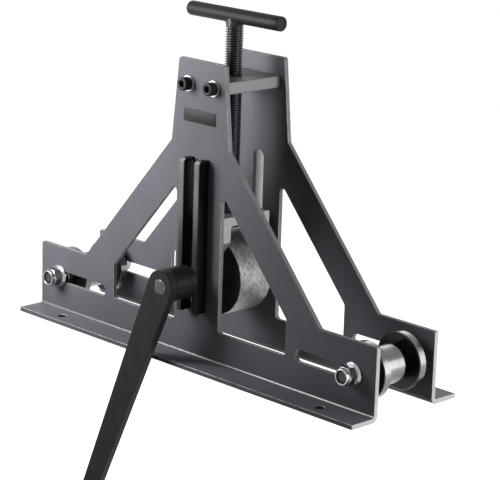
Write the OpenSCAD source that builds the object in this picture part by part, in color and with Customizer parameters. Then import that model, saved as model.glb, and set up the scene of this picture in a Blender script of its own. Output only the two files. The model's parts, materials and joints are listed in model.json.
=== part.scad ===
// Square tube bender. Two bent side plates carry a yoke that a jack screw feeds down between
// them. A crank turns the yoke's drum, which draws the tube over two flanged rollers whose
// bolts slide in the plates' lower slots.
// Millimetres. X runs along the plates, Y from the crank side at the front (negative) to the
// rear, Z up from the underside of the feet. The drum's axle and the jack screw meet at X = 0.

/* [Side plates] */
// Length of each side plate
plate_len = 600; // [580:10:700]
// Thickness of the plate steel
plate_t = 6; // [4:0.5:8]
// Clear width between the two plates
gap_w = 93; // [88:1:120]
// Height of the plates' low ends
end_h = 90; // [82:1:110]
// Length of each low end, up to where the sloping edge leaves it
low_len = 90; // [80:1:100]
// Distance from the middle to the shoulder, where the sloping edge meets the neck
shoulder_x = 50.8; // [46:0.2:60]
// Height of the shoulder
shoulder_z = 270; // [262:1:285]
// Half width of the neck's top
neck_x = 40.1; // [36:0.1:45]
// Height of the neck's top
top_z = 373; // [362:1:400]
// Radius of the neck's top corners
neck_corner_r = 4; // [1:0.5:8]
// Radius of the low ends' upper corners
end_corner_r = 3; // [1:0.5:6]
// Fillet in the notches and shoulders of the outline
notch_r = 3; // [1:0.5:6]

/* [Feet] */
// How far each foot reaches beyond its plate's outer face
foot_reach = 36.7; // [30:0.1:45]
// Inner radius of the bend between plate and foot
bend_r = 3; // [2:0.5:5]
// Radius of the feet's outer corners
foot_corner_r = 1; // [1:0.5:8]
// Diameter of the holes in the feet
foot_hole_d = 12; // [8:0.5:13]
// Distance from a plate's end to its foot hole
foot_hole_inset = 67; // [40:1:90]
// Distance from a plate's outer face to its foot holes
foot_hole_out = 20; // [16:0.5:24]

/* [Windows and slots] */
// Width of a sloping leg, square to its edge
leg_w = 42; // [36:1:48]
// Distance from the middle to a window's upright edge
window_x0 = 39.5; // [34:0.5:44]
// Distance from a window's outer edge to where the sloping edge leaves the low end
window_inset = 55; // [50:1:70]
// Height of the windows' lower edge
window_z = 44; // [36:1:50]
// Radius of the windows' corners
window_r = 5; // [2:0.5:8]
// Play of the axle in the central slot, on each side
slot_play = 0.2; // [0.1:0.05:0.5]
// Height of the central slot's lower end
slot_z0 = 68; // [60:1:72]
// Height of the central slot's upper end
slot_z1 = 252.5; // [250:0.5:258]
// Play of a roller bolt in its slot, on each side
bolt_play = 0.5; // [0.3:0.05:1]
// Height of the roller slots and rollers above the feet's underside
roller_z = 50; // [46:1:54]
// Distance from a plate's end to the outer end of its roller slot
roller_slot_inset = 27.5; // [20:0.5:28]
// Length of a roller slot
roller_slot_len = 101.5; // [90:0.5:104]

/* [Guide bars] */
// Width of a guide bar, along the plate
bar_w = 8; // [7:0.5:11]
// How far a guide bar stands out from its plate
bar_out = 17; // [12:0.5:20]
// Height of a guide bar's lower end
bar_z0 = 65; // [58:1:68]
// Height of a guide bar's upper end
bar_z1 = 255; // [253:0.5:262]
// Bevel at a guide bar's outer upper edge
bar_top_bevel = 3.5; // [1:0.5:6]
// Bevel along a guide bar's outer edges
bar_bevel = 0.8; // [0.4:0.1:1.5]

/* [Cross block] */
// Half length of the cross block along the plates
block_x = 34; // [31:0.5:36]
// Height of the cross block
block_h = 15; // [14:0.5:18]
// Height of the middle of the cross block
block_z = 343; // [342:0.5:350]
// Bevel along the cross block's edges
block_bevel = 0.8; // [0.4:0.1:1.5]
// Distance from the middle to a cap screw
cap_x = 22; // [20:0.5:24]
// Thread diameter of the cap screws
cap_d = 10; // [8:1:10]
// Depth of the cap screws in the cross block
cap_grip = 22; // [16:1:26]
// Clearance round a cap screw in its plate hole and washer
cap_play = 0.25; // [0.1:0.05:0.5]
// Diameter of a cap screw's head
cap_head_d = 16; // [15:0.5:18]
// Height of a cap screw's head
cap_head_h = 10; // [8:0.5:12]
// Size across flats of a cap screw's socket
cap_socket = 8; // [6:0.5:9]
// Diameter of a cap screw's washer
cap_washer_d = 20; // [19:0.5:22]
// Thickness of a cap screw's washer
cap_washer_t = 2; // [1.5:0.1:2.5]

/* [Jack screw] */
// Thread diameter of the jack screw
jack_d = 22; // [20:1:24]
// Diameter of the screw's plain journal in the yoke
journal_d = 16; // [14:1:18]
// Height of the middle of the T handle's bar
handle_z = 423; // [420:1:440]
// Diameter of the T handle's bar
handle_d = 18; // [16:0.5:20]
// Half length of the T handle's bar
handle_x = 79.5; // [70:0.5:90]
// Bevel at the ends of the T handle's bar
handle_bevel = 1.6; // [0.8:0.1:3]
// Height of the flared weld under the bar
flare_h = 10; // [6:0.5:14]
// Diameter of the thrust collar on the yoke
thrust_d = 40; // [34:1:44]
// Height of the thrust collar
thrust_h = 10; // [6:0.5:10]
// Diameter of the retaining collar under the yoke's arch
retainer_d = 28; // [24:1:32]
// Height of the retaining collar
retainer_h = 8; // [7:0.5:9]
// Diameter of the retaining collar's cross pin
retainer_pin_d = 4; // [3:0.5:4]

/* [Yoke] */
// Height of the drum's axle at rest
axle_z = 104.5; // [100:0.5:108]
// Height of the yoke's top at rest
yoke_z = 183.5; // [180:0.5:187]
// Half width of the yoke along the plates
yoke_x = 31; // [28:0.5:34]
// Thickness of the yoke's legs
yoke_t = 12; // [10:0.5:13]
// Thickness of the yoke's crown
crown_t = 11.5; // [9:0.5:15]
// Radius inside the yoke's arch
arch_r = 4; // [2:1:16]
// Radius outside the yoke's crown
crown_r = 3; // [1:0.5:6]
// Height above the axle at which the legs start to narrow
taper_top = 47.5; // [40:0.5:50]
// Height above the axle at which the legs reach their narrow end
taper_end = 31.5; // [24:0.5:34]
// Half width and end radius of the legs' narrow ends
yoke_end_r = 20; // [18:0.5:24]

/* [Drive] */
// Diameter of the drive drum
drum_d = 100; // [90:1:106]
// Width of the drive drum
drum_w = 52; // [46:1:54]
// Bevel round the drum's rims
drum_bevel = 1; // [0.5:0.1:2]
// Diameter of the drive axle
axle_d = 18; // [17:0.5:20]
// Length of the axle beyond the rear collar
axle_tail = 3; // [1:0.5:6]
// Width and height of the drum's key
key_w = 6; // [5:0.5:6]
// Length of the drum's key
key_len = 40; // [30:1:44]
// Wall of the bushes in the yoke's legs
bush_wall = 3; // [2:0.5:4]
// Diameter of the spacer rings beside the yoke
ring_d = 28; // [24:1:30]
// Thickness of the washers in front of and behind the guide bars
crank_washer_t = 3.5; // [2:0.5:4]
// Diameter of those washers
crank_washer_d = 40; // [38:0.5:42]
// Diameter of the rear axle collar
tail_collar_d = 34; // [30:1:38]
// Width of the rear axle collar
tail_collar_w = 13; // [12:0.5:16]

/* [Crank] */
// Diameter of the crank's hub
hub_d = 41.5; // [39:0.5:44]
// Length of the crank's hub
hub_len = 30; // [24:0.5:34]
// Bevel round the hub's ends
hub_bevel = 1; // [0.5:0.1:2]
// Thread diameter of the hub's and the rear collar's set screws
set_screw_d = 8; // [6:1:8]
// Angle of the lever from straight down, towards the left
lever_angle = 23.4; // [0:0.1:45]
// Thickness of the lever
lever_t = 10; // [8:0.5:12]
// Radius of the lever's end round the axle
lever_r0 = 20.5; // [19.5:0.1:21.5]
// Radius of the lever's outer end
lever_r1 = 12.4; // [11:0.1:14]
// Distance from the axle to the crank grip
lever_len = 345; // [330:5:380]
// Diameter of the crank grip
grip_d = 28; // [24:1:34]
// Length of the crank grip
grip_len = 110; // [90:5:130]
// How much thicker the grip is at its middle, on each side
grip_swell = 1.5; // [0.5:0.25:3]
// Diameter of the grip's bolt
grip_bolt_d = 12; // [10:1:12]
// Diameter of the grip bolt's thread in the lever
grip_thread_d = 10; // [8:1:10]

/* [Rollers] */
// Distance from a plate's end to the roller at rest
roller_inset = 36; // [36:0.5:40]
// Diameter of a roller's flanges
flange_d = 69.4; // [64:0.2:72]
// Thickness of a roller's flanges
flange_t = 10.7; // [8:0.1:12]
// Distance between the two flanges of a roller
flange_gap = 49.6; // [44:0.2:52]
// Bevel round the flanges' rims
flange_bevel = 0.8; // [0.4:0.1:1.5]
// Diameter of a roller's running surface
tread_d = 46.8; // [42:0.2:50]
// Length of the running surface from the front flange
tread_len = 36.8; // [30:0.2:40]
// Diameter of the sleeve that carries both flanges
sleeve_d = 28; // [24:1:32]
// Diameter of a roller bolt
roller_bolt_d = 14; // [12:0.5:15]
// Diameter of the spacers between roller and plates
spacer_d = 24; // [20:0.5:28]
// Size across flats of a roller bolt's nut and head
hex_af = 21; // [18:0.5:22]
// Diameter of a nut's or head's flange
nut_flange_d = 29; // [26:0.5:31]
// Thickness of that flange
nut_flange_t = 3.5; // [2:0.25:4]
// Height of a nut's hexagon
nut_hex_h = 11; // [8:0.5:12]
// Diameter of a nut's locking collar
nut_collar_d = 20.6; // [18:0.2:22]
// Height of a nut's locking collar
nut_collar_h = 5; // [3:0.5:6]
// Height of a bolt's hexagon head
head_hex_h = 7.5; // [6:0.5:9]

/* [Fits] */
// Radial clearance of shafts that turn in their bores
run_fit = 0.05; // [0.02:0.01:0.08]
// Gap between faces that slide past each other
face_gap = 0.3; // [0.2:0.05:0.4]
// Gap between the drum and the yoke's legs
drum_gap = 0.5; // [0.3:0.1:1]

/* [Hidden] */
$fn = 96;
HEX_SIDES = 6;
overrun = 1;

plate_x = plate_len / 2;
in_y = gap_w / 2;
out_y = in_y + plate_t;
foot_y = out_y + foot_reach;
bend_y = out_y + bend_r;
bend_z = plate_t + bend_r;
slope_x = plate_x - low_len;
window_x1 = slope_x - window_inset;
roller_slot_x1 = plate_x - roller_slot_inset;
roller_slot_x0 = roller_slot_x1 - roller_slot_len;
roller_x = plate_x - roller_inset;
foot_hole_x = plate_x - foot_hole_inset;
foot_hole_y = out_y + foot_hole_out;
bar_y = out_y + bar_out;

slope = (shoulder_z - end_h) / (slope_x - shoulder_x);
leg_drop = leg_w * sqrt(1 + slope * slope);
axle_r = axle_d / 2;
slot_r = axle_r + slot_play;
roller_bolt_r = roller_bolt_d / 2;
roller_slot_r = roller_bolt_r + bolt_play;
cap_r = cap_d / 2;
cap_hole_r = cap_r + cap_play;
jack_r = jack_d / 2;
journal_r = journal_d / 2;
handle_r = handle_d / 2;

drum_y = drum_w / 2;
yoke_in_y = drum_y + drum_gap;
yoke_out_y = yoke_in_y + yoke_t;
arch_z = yoke_z - crown_t;
retainer_z1 = arch_z - face_gap;
retainer_z0 = retainer_z1 - retainer_h;
journal_tail = retainer_h / 4;
bush_r = axle_r + run_fit + bush_wall;
washer_y = bar_y + face_gap;
hub_y0 = washer_y + crank_washer_t;
hub_y1 = hub_y0 + hub_len;
lever_y1 = hub_y1 + lever_t;
tail_collar_y1 = hub_y0 + tail_collar_w;
tail_y = tail_collar_y1 + axle_tail;
set_screw_r = set_screw_d / 2;
set_screw_sink = set_screw_r / 4;
set_screw_socket_share = 0.5;

grip_r = grip_d / 2;
grip_bolt_r = grip_bolt_d / 2;
grip_y0 = lever_y1 + face_gap;
grip_y1 = grip_y0 + grip_len;
grip_head_r = grip_bolt_r * 3 / 2;
grip_head_h = grip_bolt_r;
grip_head_y0 = grip_y1 - grip_head_h * 4 / 3;
grip_nut_h = grip_thread_d * 4 / 5;
grip_nut_af = grip_thread_d * 17 / 10;
grip_x = -lever_len * sin(lever_angle);
grip_z = axle_z - lever_len * cos(lever_angle);

roller_half = flange_gap / 2 + flange_t;
sleeve_r = sleeve_d / 2;
nut_y1 = out_y + face_gap + nut_flange_t + nut_hex_h + nut_collar_h;

steel_grey = [0.36, 0.37, 0.40];
black = [0.16, 0.16, 0.17];
lever_brown = [0.21, 0.19, 0.20];
bright_steel = [0.74, 0.74, 0.75];
zinc = [0.80, 0.81, 0.83];
brass_tone = [0.72, 0.58, 0.30];
yoke_grey = [0.60, 0.60, 0.61];
block_grey = [0.50, 0.50, 0.52];

function unit(v) = v / norm(v);
function half_angle(a, p, b) = acos(unit(a - p) * unit(b - p)) / 2;
function arc_centre(a, p, b, r) = p + unit(unit(a - p) + unit(b - p)) * r / sin(half_angle(a, p, b));
function turn(a, p, b) = (p[0] - a[0]) * (b[1] - p[1]) - (p[1] - a[1]) * (b[0] - p[0]);
function cut_corner(a, p, b, r) =
    let (reach = r / tan(half_angle(a, p, b)))
    r == 0 ? [p] : [p + unit(a - p) * reach, p + unit(b - p) * reach];

// Closed outline through points that run anticlockwise, each corner rounded by its own radius.
module rounded_outline(points, radii) {
    n = len(points);
    before = [for (i = [0:n - 1]) points[(i + n - 1) % n]];
    after = [for (i = [0:n - 1]) points[(i + 1) % n]];
    difference() {
        union() {
            polygon([for (i = [0:n - 1]) each cut_corner(before[i], points[i], after[i], radii[i])]);
            for (i = [0:n - 1])
                if (radii[i] > 0 && turn(before[i], points[i], after[i]) > 0)
                    translate(arc_centre(before[i], points[i], after[i], radii[i])) circle(r = radii[i]);
        }
        for (i = [0:n - 1])
            if (radii[i] > 0 && turn(before[i], points[i], after[i]) < 0)
                translate(arc_centre(before[i], points[i], after[i], radii[i])) circle(r = radii[i]);
    }
}

// Bar between two centres whose ends are round, with a radius of its own at each end.
module round_ended(a, b, ra, rb) {
    along = unit(b - a);
    lean = asin((ra - rb) / norm(b - a));
    up = [-along[1], along[0]];
    toward = along * sin(lean) + up * cos(lean);
    away = along * sin(lean) - up * cos(lean);
    translate(a) circle(r = ra);
    translate(b) circle(r = rb);
    polygon([a + away * ra, b + away * rb, b + toward * rb, a + toward * ra]);
}

// Extrudes a drawing in X and Z from y0 to y1.
module along_y(y0, y1) {
    translate([0, y1, 0]) rotate([90, 0, 0]) linear_extrude(y1 - y0) children();
}

// Extrudes a drawing in Y and Z from x0 to x1.
module along_x(x0, x1) {
    translate([x0, 0, 0]) rotate([90, 0, 90]) linear_extrude(x1 - x0) children();
}

module rod_y(x, z, y0, y1, r) {
    translate([x, y1, z]) rotate([90, 0, 0]) cylinder(r = r, h = y1 - y0);
}

// Turned ring or rod about an axis along Y, with its outer edges bevelled.
module turned_y(x, z, y0, y1, r_in, r_out, bevel) {
    translate([x, 0, z]) rotate([-90, 0, 0]) rotate_extrude()
        polygon([[r_in, y0], [r_out - bevel, y0], [r_out, y0 + bevel],
            [r_out, y1 - bevel], [r_out - bevel, y1], [r_in, y1]]);
}

module hexagon(across_flats) {
    circle(d = across_flats / cos(180 / HEX_SIDES), $fn = HEX_SIDES);
}

module upright_outline() {
    rounded_outline(
        [[-plate_x, bend_z], [plate_x, bend_z], [plate_x, end_h], [slope_x, end_h],
            [shoulder_x, shoulder_z], [neck_x, top_z], [-neck_x, top_z],
            [-shoulder_x, shoulder_z], [-slope_x, end_h], [-plate_x, end_h]],
        [0, 0, end_corner_r, notch_r, notch_r, neck_corner_r, neck_corner_r,
            notch_r, notch_r, end_corner_r]);
}

// Height of a window's sloping edge at a distance x from the middle.
function window_top(x) = end_h + (slope_x - x) * slope - leg_drop;

module window_outline() {
    rounded_outline(
        [[window_x0, window_z], [window_x1, window_z],
            [window_x1, window_top(window_x1)], [window_x0, window_top(window_x0)]],
        [window_r, window_r, window_r, window_r]);
}

module upright_cuts() {
    round_ended([0, slot_z0 + slot_r], [0, slot_z1 - slot_r], slot_r, slot_r);
    for (side = [-1, 1]) {
        mirror([side < 0 ? 1 : 0, 0]) window_outline();
        round_ended([side * (roller_slot_x0 + roller_slot_r), roller_z],
            [side * (roller_slot_x1 - roller_slot_r), roller_z], roller_slot_r, roller_slot_r);
        translate([side * cap_x, block_z]) circle(r = cap_hole_r);
    }
}

module bend_outline() {
    reach = bend_r + plate_t;
    translate([-bend_y, bend_z]) intersection() {
        difference() {
            circle(r = reach);
            circle(r = bend_r);
        }
        translate([0, -reach]) square([reach, reach]);
    }
}

module foot_outline() {
    rounded_outline(
        [[-plate_x, -foot_y], [plate_x, -foot_y], [plate_x, -bend_y], [-plate_x, -bend_y]],
        [foot_corner_r, foot_corner_r, 0, 0]);
}

// Side plate at the front, with its foot bent outwards.
module side_plate() {
    difference() {
        union() {
            along_y(-out_y, -in_y) upright_outline();
            along_x(-plate_x, plate_x) bend_outline();
            linear_extrude(plate_t) foot_outline();
        }
        along_y(-out_y - overrun, -in_y + overrun) upright_cuts();
        for (side = [-1, 1])
            translate([side * foot_hole_x, -foot_hole_y, -overrun])
                cylinder(d = foot_hole_d, h = plate_t + 2 * overrun);
    }
}

module front_side_plate() {
    color(steel_grey) side_plate();
}

module rear_side_plate() {
    color(steel_grey) mirror([0, 1, 0]) side_plate();
}

// Flat bar welded beside the central slot. Its outer edges are bevelled, the upper one most.
module guide_bar(side, face) {
    inner = slot_r;
    outer = slot_r + bar_w;
    color(black) mirror([side < 0 ? 1 : 0, 0, 0]) mirror([0, face < 0 ? 1 : 0, 0]) difference() {
        translate([0, 0, bar_z0]) linear_extrude(bar_z1 - bar_z0)
            polygon([[inner, out_y], [outer, out_y], [outer, bar_y - bar_bevel],
                [outer - bar_bevel, bar_y], [inner + bar_bevel, bar_y], [inner, bar_y - bar_bevel]]);
        along_x(inner - overrun, outer + overrun)
            polygon([[bar_y - bar_top_bevel - overrun, bar_z1 + overrun],
                [bar_y + overrun, bar_z1 - bar_top_bevel - overrun],
                [bar_y + overrun, bar_z1 + overrun]]);
    }
}

module front_left_guide_bar() { guide_bar(-1, -1); }
module front_right_guide_bar() { guide_bar(1, -1); }
module rear_left_guide_bar() { guide_bar(-1, 1); }
module rear_right_guide_bar() { guide_bar(1, 1); }

module cross_block() {
    half_h = block_h / 2;
    color(block_grey) difference() {
        along_y(-in_y, in_y) translate([0, block_z])
            polygon([[-block_x, -half_h + block_bevel], [-block_x + block_bevel, -half_h],
                [block_x - block_bevel, -half_h], [block_x, -half_h + block_bevel],
                [block_x, half_h - block_bevel], [block_x - block_bevel, half_h],
                [-block_x + block_bevel, half_h], [-block_x, half_h - block_bevel]]);
        translate([0, 0, block_z - half_h - overrun])
            cylinder(r = jack_r + run_fit, h = block_h + 2 * overrun);
        for (side = [-1, 1]) {
            rod_y(side * cap_x, block_z, -in_y - overrun, -in_y + cap_grip, cap_r);
            rod_y(side * cap_x, block_z, in_y - cap_grip, in_y + overrun, cap_r);
        }
    }
}

// Socket-head cap screw at the front, its thread in the cross block.
module cap_screw(x) {
    head_y = -out_y - cap_washer_t;
    difference() {
        union() {
            rod_y(x, block_z, head_y - cap_head_h / 4, -in_y + cap_grip, cap_r);
            turned_y(x, block_z, head_y - cap_head_h, head_y, 0, cap_head_d / 2, cap_washer_t / 4);
        }
        along_y(head_y - cap_head_h - overrun, head_y - cap_head_h / 2)
            translate([x, block_z]) hexagon(cap_socket);
    }
}

module cap_screws() {
    color(black) for (side = [-1, 1]) cap_screw(side * cap_x);
}

module cap_washers() {
    color(zinc) for (side = [-1, 1])
        turned_y(side * cap_x, block_z, -out_y - cap_washer_t, -out_y, cap_hole_r,
            cap_washer_d / 2, cap_washer_t / 8);
}

module front_cap_screws() { cap_screws(); }
module rear_cap_screws() { mirror([0, 1, 0]) cap_screws(); }
module front_cap_washers() { cap_washers(); }
module rear_cap_washers() { mirror([0, 1, 0]) cap_washers(); }

// The yoke seen along X: an arch with its legs down.
module arch_outline() {
    difference() {
        rounded_outline(
            [[-yoke_out_y, axle_z - yoke_end_r], [yoke_out_y, axle_z - yoke_end_r],
                [yoke_out_y, yoke_z], [-yoke_out_y, yoke_z]],
            [0, 0, crown_r, crown_r]);
        rounded_outline(
            [[-yoke_in_y, axle_z - yoke_end_r - overrun], [yoke_in_y, axle_z - yoke_end_r - overrun],
                [yoke_in_y, arch_z], [-yoke_in_y, arch_z]],
            [0, 0, arch_r, arch_r]);
    }
}

// The yoke seen along Y: upright sides that narrow to a round end about the axle.
module leg_outline() {
    polygon([[-yoke_end_r, axle_z], [yoke_end_r, axle_z], [yoke_end_r, axle_z + taper_end],
        [yoke_x, axle_z + taper_top], [yoke_x, yoke_z], [-yoke_x, yoke_z],
        [-yoke_x, axle_z + taper_top], [-yoke_end_r, axle_z + taper_end]]);
    translate([0, axle_z]) circle(r = yoke_end_r);
}

module yoke() {
    color(yoke_grey) difference() {
        intersection() {
            along_x(-yoke_x, yoke_x) arch_outline();
            along_y(-yoke_out_y, yoke_out_y) leg_outline();
        }
        rod_y(0, axle_z, -yoke_out_y - overrun, yoke_out_y + overrun, bush_r);
        translate([0, 0, arch_z - overrun])
            cylinder(r = journal_r + run_fit, h = crown_t + 2 * overrun);
    }
}

module yoke_bush() {
    color(brass_tone)
        turned_y(0, axle_z, -yoke_out_y, -yoke_in_y, axle_r + run_fit, bush_r, bush_wall / 10);
}

module front_yoke_bush() { yoke_bush(); }
module rear_yoke_bush() { mirror([0, 1, 0]) yoke_bush(); }

// Collar on the yoke's crown that steadies the foot of the jack screw.
module thrust_collar() {
    bevel = thrust_h / 10;
    color(black) translate([0, 0, yoke_z]) rotate_extrude()
        polygon([[jack_r + run_fit, 0], [thrust_d / 2, 0], [thrust_d / 2, thrust_h - bevel],
            [thrust_d / 2 - bevel, thrust_h], [jack_r + run_fit, thrust_h]]);
}

// Screw with a plain journal below, and a flared weld that carries the T handle's bar.
module jack_screw() {
    weld_r = jack_r + flare_h / 2;
    weld_z0 = handle_z - handle_r - flare_h;
    weld_z1 = handle_z - handle_r / 2;
    foot_z = retainer_z0 - journal_tail;
    color(black) difference() {
        union() {
            rotate_extrude()
                polygon([[0, foot_z], [journal_r - journal_tail / 2, foot_z],
                    [journal_r, foot_z + journal_tail / 2], [journal_r, yoke_z + face_gap],
                    [jack_r, yoke_z + face_gap], [jack_r, weld_z1], [0, weld_z1]]);
            intersection() {
                rotate_extrude()
                    polygon([[0, weld_z0], [jack_r, weld_z0], [jack_r + flare_h / 10, weld_z0 + flare_h / 2],
                        [weld_r, weld_z0 + flare_h], [weld_r, weld_z1], [0, weld_z1]]);
                along_x(-weld_r, weld_r)
                    polygon([[-jack_r, weld_z0], [jack_r, weld_z0], [jack_r, weld_z0 + flare_h / 2],
                        [handle_r, weld_z1], [-handle_r, weld_z1], [-jack_r, weld_z0 + flare_h / 2]]);
            }
        }
        translate([0, 0, handle_z]) rotate([0, 90, 0])
            cylinder(r = handle_r, h = 2 * handle_x, center = true);
        rod_y(0, (retainer_z0 + retainer_z1) / 2, -retainer_d, retainer_d, retainer_pin_d / 2);
    }
}

module t_handle_bar() {
    color(black) translate([0, 0, handle_z]) rotate([0, 90, 0]) rotate_extrude()
        polygon([[0, -handle_x], [handle_r - handle_bevel, -handle_x], [handle_r, -handle_x + handle_bevel],
            [handle_r, handle_x - handle_bevel], [handle_r - handle_bevel, handle_x], [0, handle_x]]);
}

module retaining_collar() {
    bevel = retainer_h / 10;
    color(zinc) difference() {
        rotate_extrude() polygon([[journal_r, retainer_z0], [retainer_d / 2 - bevel, retainer_z0],
            [retainer_d / 2, retainer_z0 + bevel], [retainer_d / 2, retainer_z1 - bevel],
            [retainer_d / 2 - bevel, retainer_z1], [journal_r, retainer_z1]]);
        rod_y(0, (retainer_z0 + retainer_z1) / 2, -retainer_d, retainer_d, retainer_pin_d / 2);
    }
}

module retaining_pin() {
    color(zinc) turned_y(0, (retainer_z0 + retainer_z1) / 2, -retainer_d / 2, retainer_d / 2, 0,
        retainer_pin_d / 2, retainer_pin_d / 8);
}

// Room for the drum's key, half in the axle and half in the drum.
module key_shape(play) {
    translate([-key_w / 2 - play, -key_len / 2 - play, axle_z + axle_r - key_w / 2 - play])
        cube([key_w + 2 * play, key_len + 2 * play, key_w + 2 * play]);
}

module drive_axle() {
    color(bright_steel) difference() {
        turned_y(0, axle_z, -lever_y1, tail_y, 0, axle_r, axle_tail / 4);
        key_shape(0);
    }
}

module drive_drum() {
    color(bright_steel) difference() {
        turned_y(0, axle_z, -drum_y, drum_y, axle_r, drum_d / 2, drum_bevel);
        translate([-key_w / 2, -drum_y - overrun, axle_z])
            cube([key_w, drum_w + 2 * overrun, axle_r + key_w / 2]);
    }
}

module drum_key() {
    color(zinc) key_shape(0);
}

module spacer_ring() {
    color(zinc) turned_y(0, axle_z, -in_y + face_gap, -yoke_out_y - face_gap, axle_r, ring_d / 2, face_gap);
}

module front_spacer_ring() { spacer_ring(); }
module rear_spacer_ring() { mirror([0, 1, 0]) spacer_ring(); }

module axle_washer() {
    color(black) turned_y(0, axle_z, -hub_y0, -washer_y, axle_r, crank_washer_d / 2, crank_washer_t / 8);
}

module front_axle_washer() { axle_washer(); }
module rear_axle_washer() { mirror([0, 1, 0]) axle_washer(); }

// Set screw that lies along X, from the axle's surface almost to the outside at radius r.
module set_screw(y, r) {
    len = r - set_screw_sink - axle_r;
    color(black) translate([-axle_r, y, axle_z]) rotate([0, -90, 0]) difference() {
        cylinder(r = set_screw_r, h = len);
        translate([0, 0, len / 2]) linear_extrude(len)
            hexagon(set_screw_d * set_screw_socket_share);
    }
}

module set_screw_hole(y, r) {
    translate([-axle_r / 2, y, axle_z]) rotate([0, -90, 0]) cylinder(r = set_screw_r, h = r);
}

module set_screws() {
    set_screw(-(hub_y0 + hub_y1) / 2, hub_d / 2);
    set_screw((hub_y0 + tail_collar_y1) / 2, tail_collar_d / 2);
}

module rear_axle_collar() {
    color(zinc) difference() {
        turned_y(0, axle_z, hub_y0, tail_collar_y1, axle_r, tail_collar_d / 2, hub_bevel);
        set_screw_hole((hub_y0 + tail_collar_y1) / 2, tail_collar_d / 2);
    }
}

module crank_hub() {
    color(black) difference() {
        turned_y(0, axle_z, -hub_y1, -hub_y0, axle_r, hub_d / 2, hub_bevel);
        set_screw_hole(-(hub_y0 + hub_y1) / 2, hub_d / 2);
    }
}

// Flat lever that tapers from the axle to the grip, both ends round.
module crank_lever() {
    color(lever_brown) difference() {
        along_y(-lever_y1, -hub_y1) round_ended([0, axle_z], [grip_x, grip_z], lever_r0, lever_r1);
        rod_y(0, axle_z, -lever_y1 - overrun, -hub_y1 + overrun, axle_r);
        rod_y(grip_x, grip_z, -lever_y1 - overrun, -hub_y1 + overrun, grip_thread_d / 2);
    }
}

// Shoulder bolt on which the grip turns, its head sunk in the grip's end.
module grip_bolt() {
    color(zinc) difference() {
        union() {
            rod_y(grip_x, grip_z, -lever_y1 - lever_t, -hub_y1 + grip_nut_h * 5 / 4, grip_thread_d / 2);
            rod_y(grip_x, grip_z, -grip_head_y0 - grip_head_h / 4, -lever_y1, grip_bolt_r);
            turned_y(grip_x, grip_z, -grip_head_y0 - grip_head_h, -grip_head_y0 - face_gap, 0,
                grip_head_r, grip_head_h / 5);
        }
        along_y(-grip_head_y0 - grip_head_h - overrun, -grip_head_y0 - grip_head_h / 2)
            translate([grip_x, grip_z]) hexagon(grip_bolt_r);
    }
}

module grip_nut() {
    color(zinc) difference() {
        along_y(-hub_y1, -hub_y1 + grip_nut_h) translate([grip_x, grip_z]) hexagon(grip_nut_af);
        rod_y(grip_x, grip_z, -hub_y1 - overrun, -hub_y1 + grip_nut_h + overrun, grip_thread_d / 2);
    }
}

// Sleeve grip with a swelled middle, rounded ends and a counterbore for the bolt's head.
module crank_grip() {
    end_r = grip_r / 4;
    bore = grip_bolt_r + run_fit;
    well = grip_head_r + face_gap;
    steps = 8;
    color(black) translate([grip_x, 0, grip_z]) rotate([90, 0, 0]) rotate_extrude() difference() {
        union() {
            polygon([[bore, grip_y0], [grip_r - end_r, grip_y0],
                for (i = [0:steps]) let (s = i / steps)
                    [grip_r + grip_swell * sin(180 * s), grip_y0 + end_r + (grip_len - 2 * end_r) * s],
                [grip_r - end_r, grip_y1], [bore, grip_y1]]);
            for (y = [grip_y0 + end_r, grip_y1 - end_r]) translate([grip_r - end_r, y]) circle(r = end_r);
        }
        translate([0, grip_head_y0]) square([well, grip_len]);
    }
}

// Bolt that carries a roller, its head behind the rear plate.
module roller_bolt(x) {
    head_y = out_y + face_gap;
    color(zinc) union() {
        rod_y(x, roller_z, -nut_y1 + nut_collar_h / 3, head_y + nut_flange_t / 2, roller_bolt_r);
        turned_y(x, roller_z, head_y, head_y + nut_flange_t, 0, nut_flange_d / 2, nut_flange_t / 4);
        along_y(head_y + nut_flange_t / 2, head_y + nut_flange_t + head_hex_h)
            translate([x, roller_z]) hexagon(hex_af);
    }
}

module roller_nut(x) {
    flange_y = -out_y - face_gap;
    hex_y = flange_y - nut_flange_t;
    collar_y = hex_y - nut_hex_h;
    color(zinc) difference() {
        union() {
            turned_y(x, roller_z, hex_y, flange_y, 0, nut_flange_d / 2, nut_flange_t / 4);
            along_y(collar_y, hex_y + nut_flange_t / 2) translate([x, roller_z]) hexagon(hex_af);
            turned_y(x, roller_z, collar_y - nut_collar_h, collar_y, 0, nut_collar_d / 2, nut_collar_h / 4);
            rod_y(x, roller_z, collar_y - nut_collar_h / 2, hex_y, (roller_bolt_r + nut_collar_d / 2) / 2);
        }
        rod_y(x, roller_z, -nut_y1 - overrun, flange_y + overrun, roller_bolt_r);
    }
}

module roller_spacer(x) {
    color(zinc) turned_y(x, roller_z, -in_y + face_gap, -roller_half - face_gap, roller_bolt_r,
        spacer_d / 2, face_gap);
}

module roller_sleeve(x) {
    color(black) turned_y(x, roller_z, -roller_half, roller_half, roller_bolt_r + run_fit, sleeve_r, face_gap);
}

// Front flange and running surface, turned in one piece.
module flanged_roller(x) {
    flange_r = flange_d / 2;
    tread_r = tread_d / 2;
    root_y = -flange_gap / 2;
    color(bright_steel) translate([x, 0, roller_z]) rotate([-90, 0, 0]) rotate_extrude()
        polygon([[sleeve_r, -roller_half], [flange_r - flange_bevel, -roller_half],
            [flange_r, -roller_half + flange_bevel], [flange_r, root_y - flange_bevel],
            [flange_r - flange_bevel, root_y], [tread_r, root_y],
            [tread_r, root_y + tread_len - flange_bevel], [tread_r - flange_bevel, root_y + tread_len],
            [sleeve_r, root_y + tread_len]]);
}

module rear_flange(x) {
    color(bright_steel)
        turned_y(x, roller_z, flange_gap / 2, roller_half, sleeve_r, flange_d / 2, flange_bevel);
}

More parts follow.
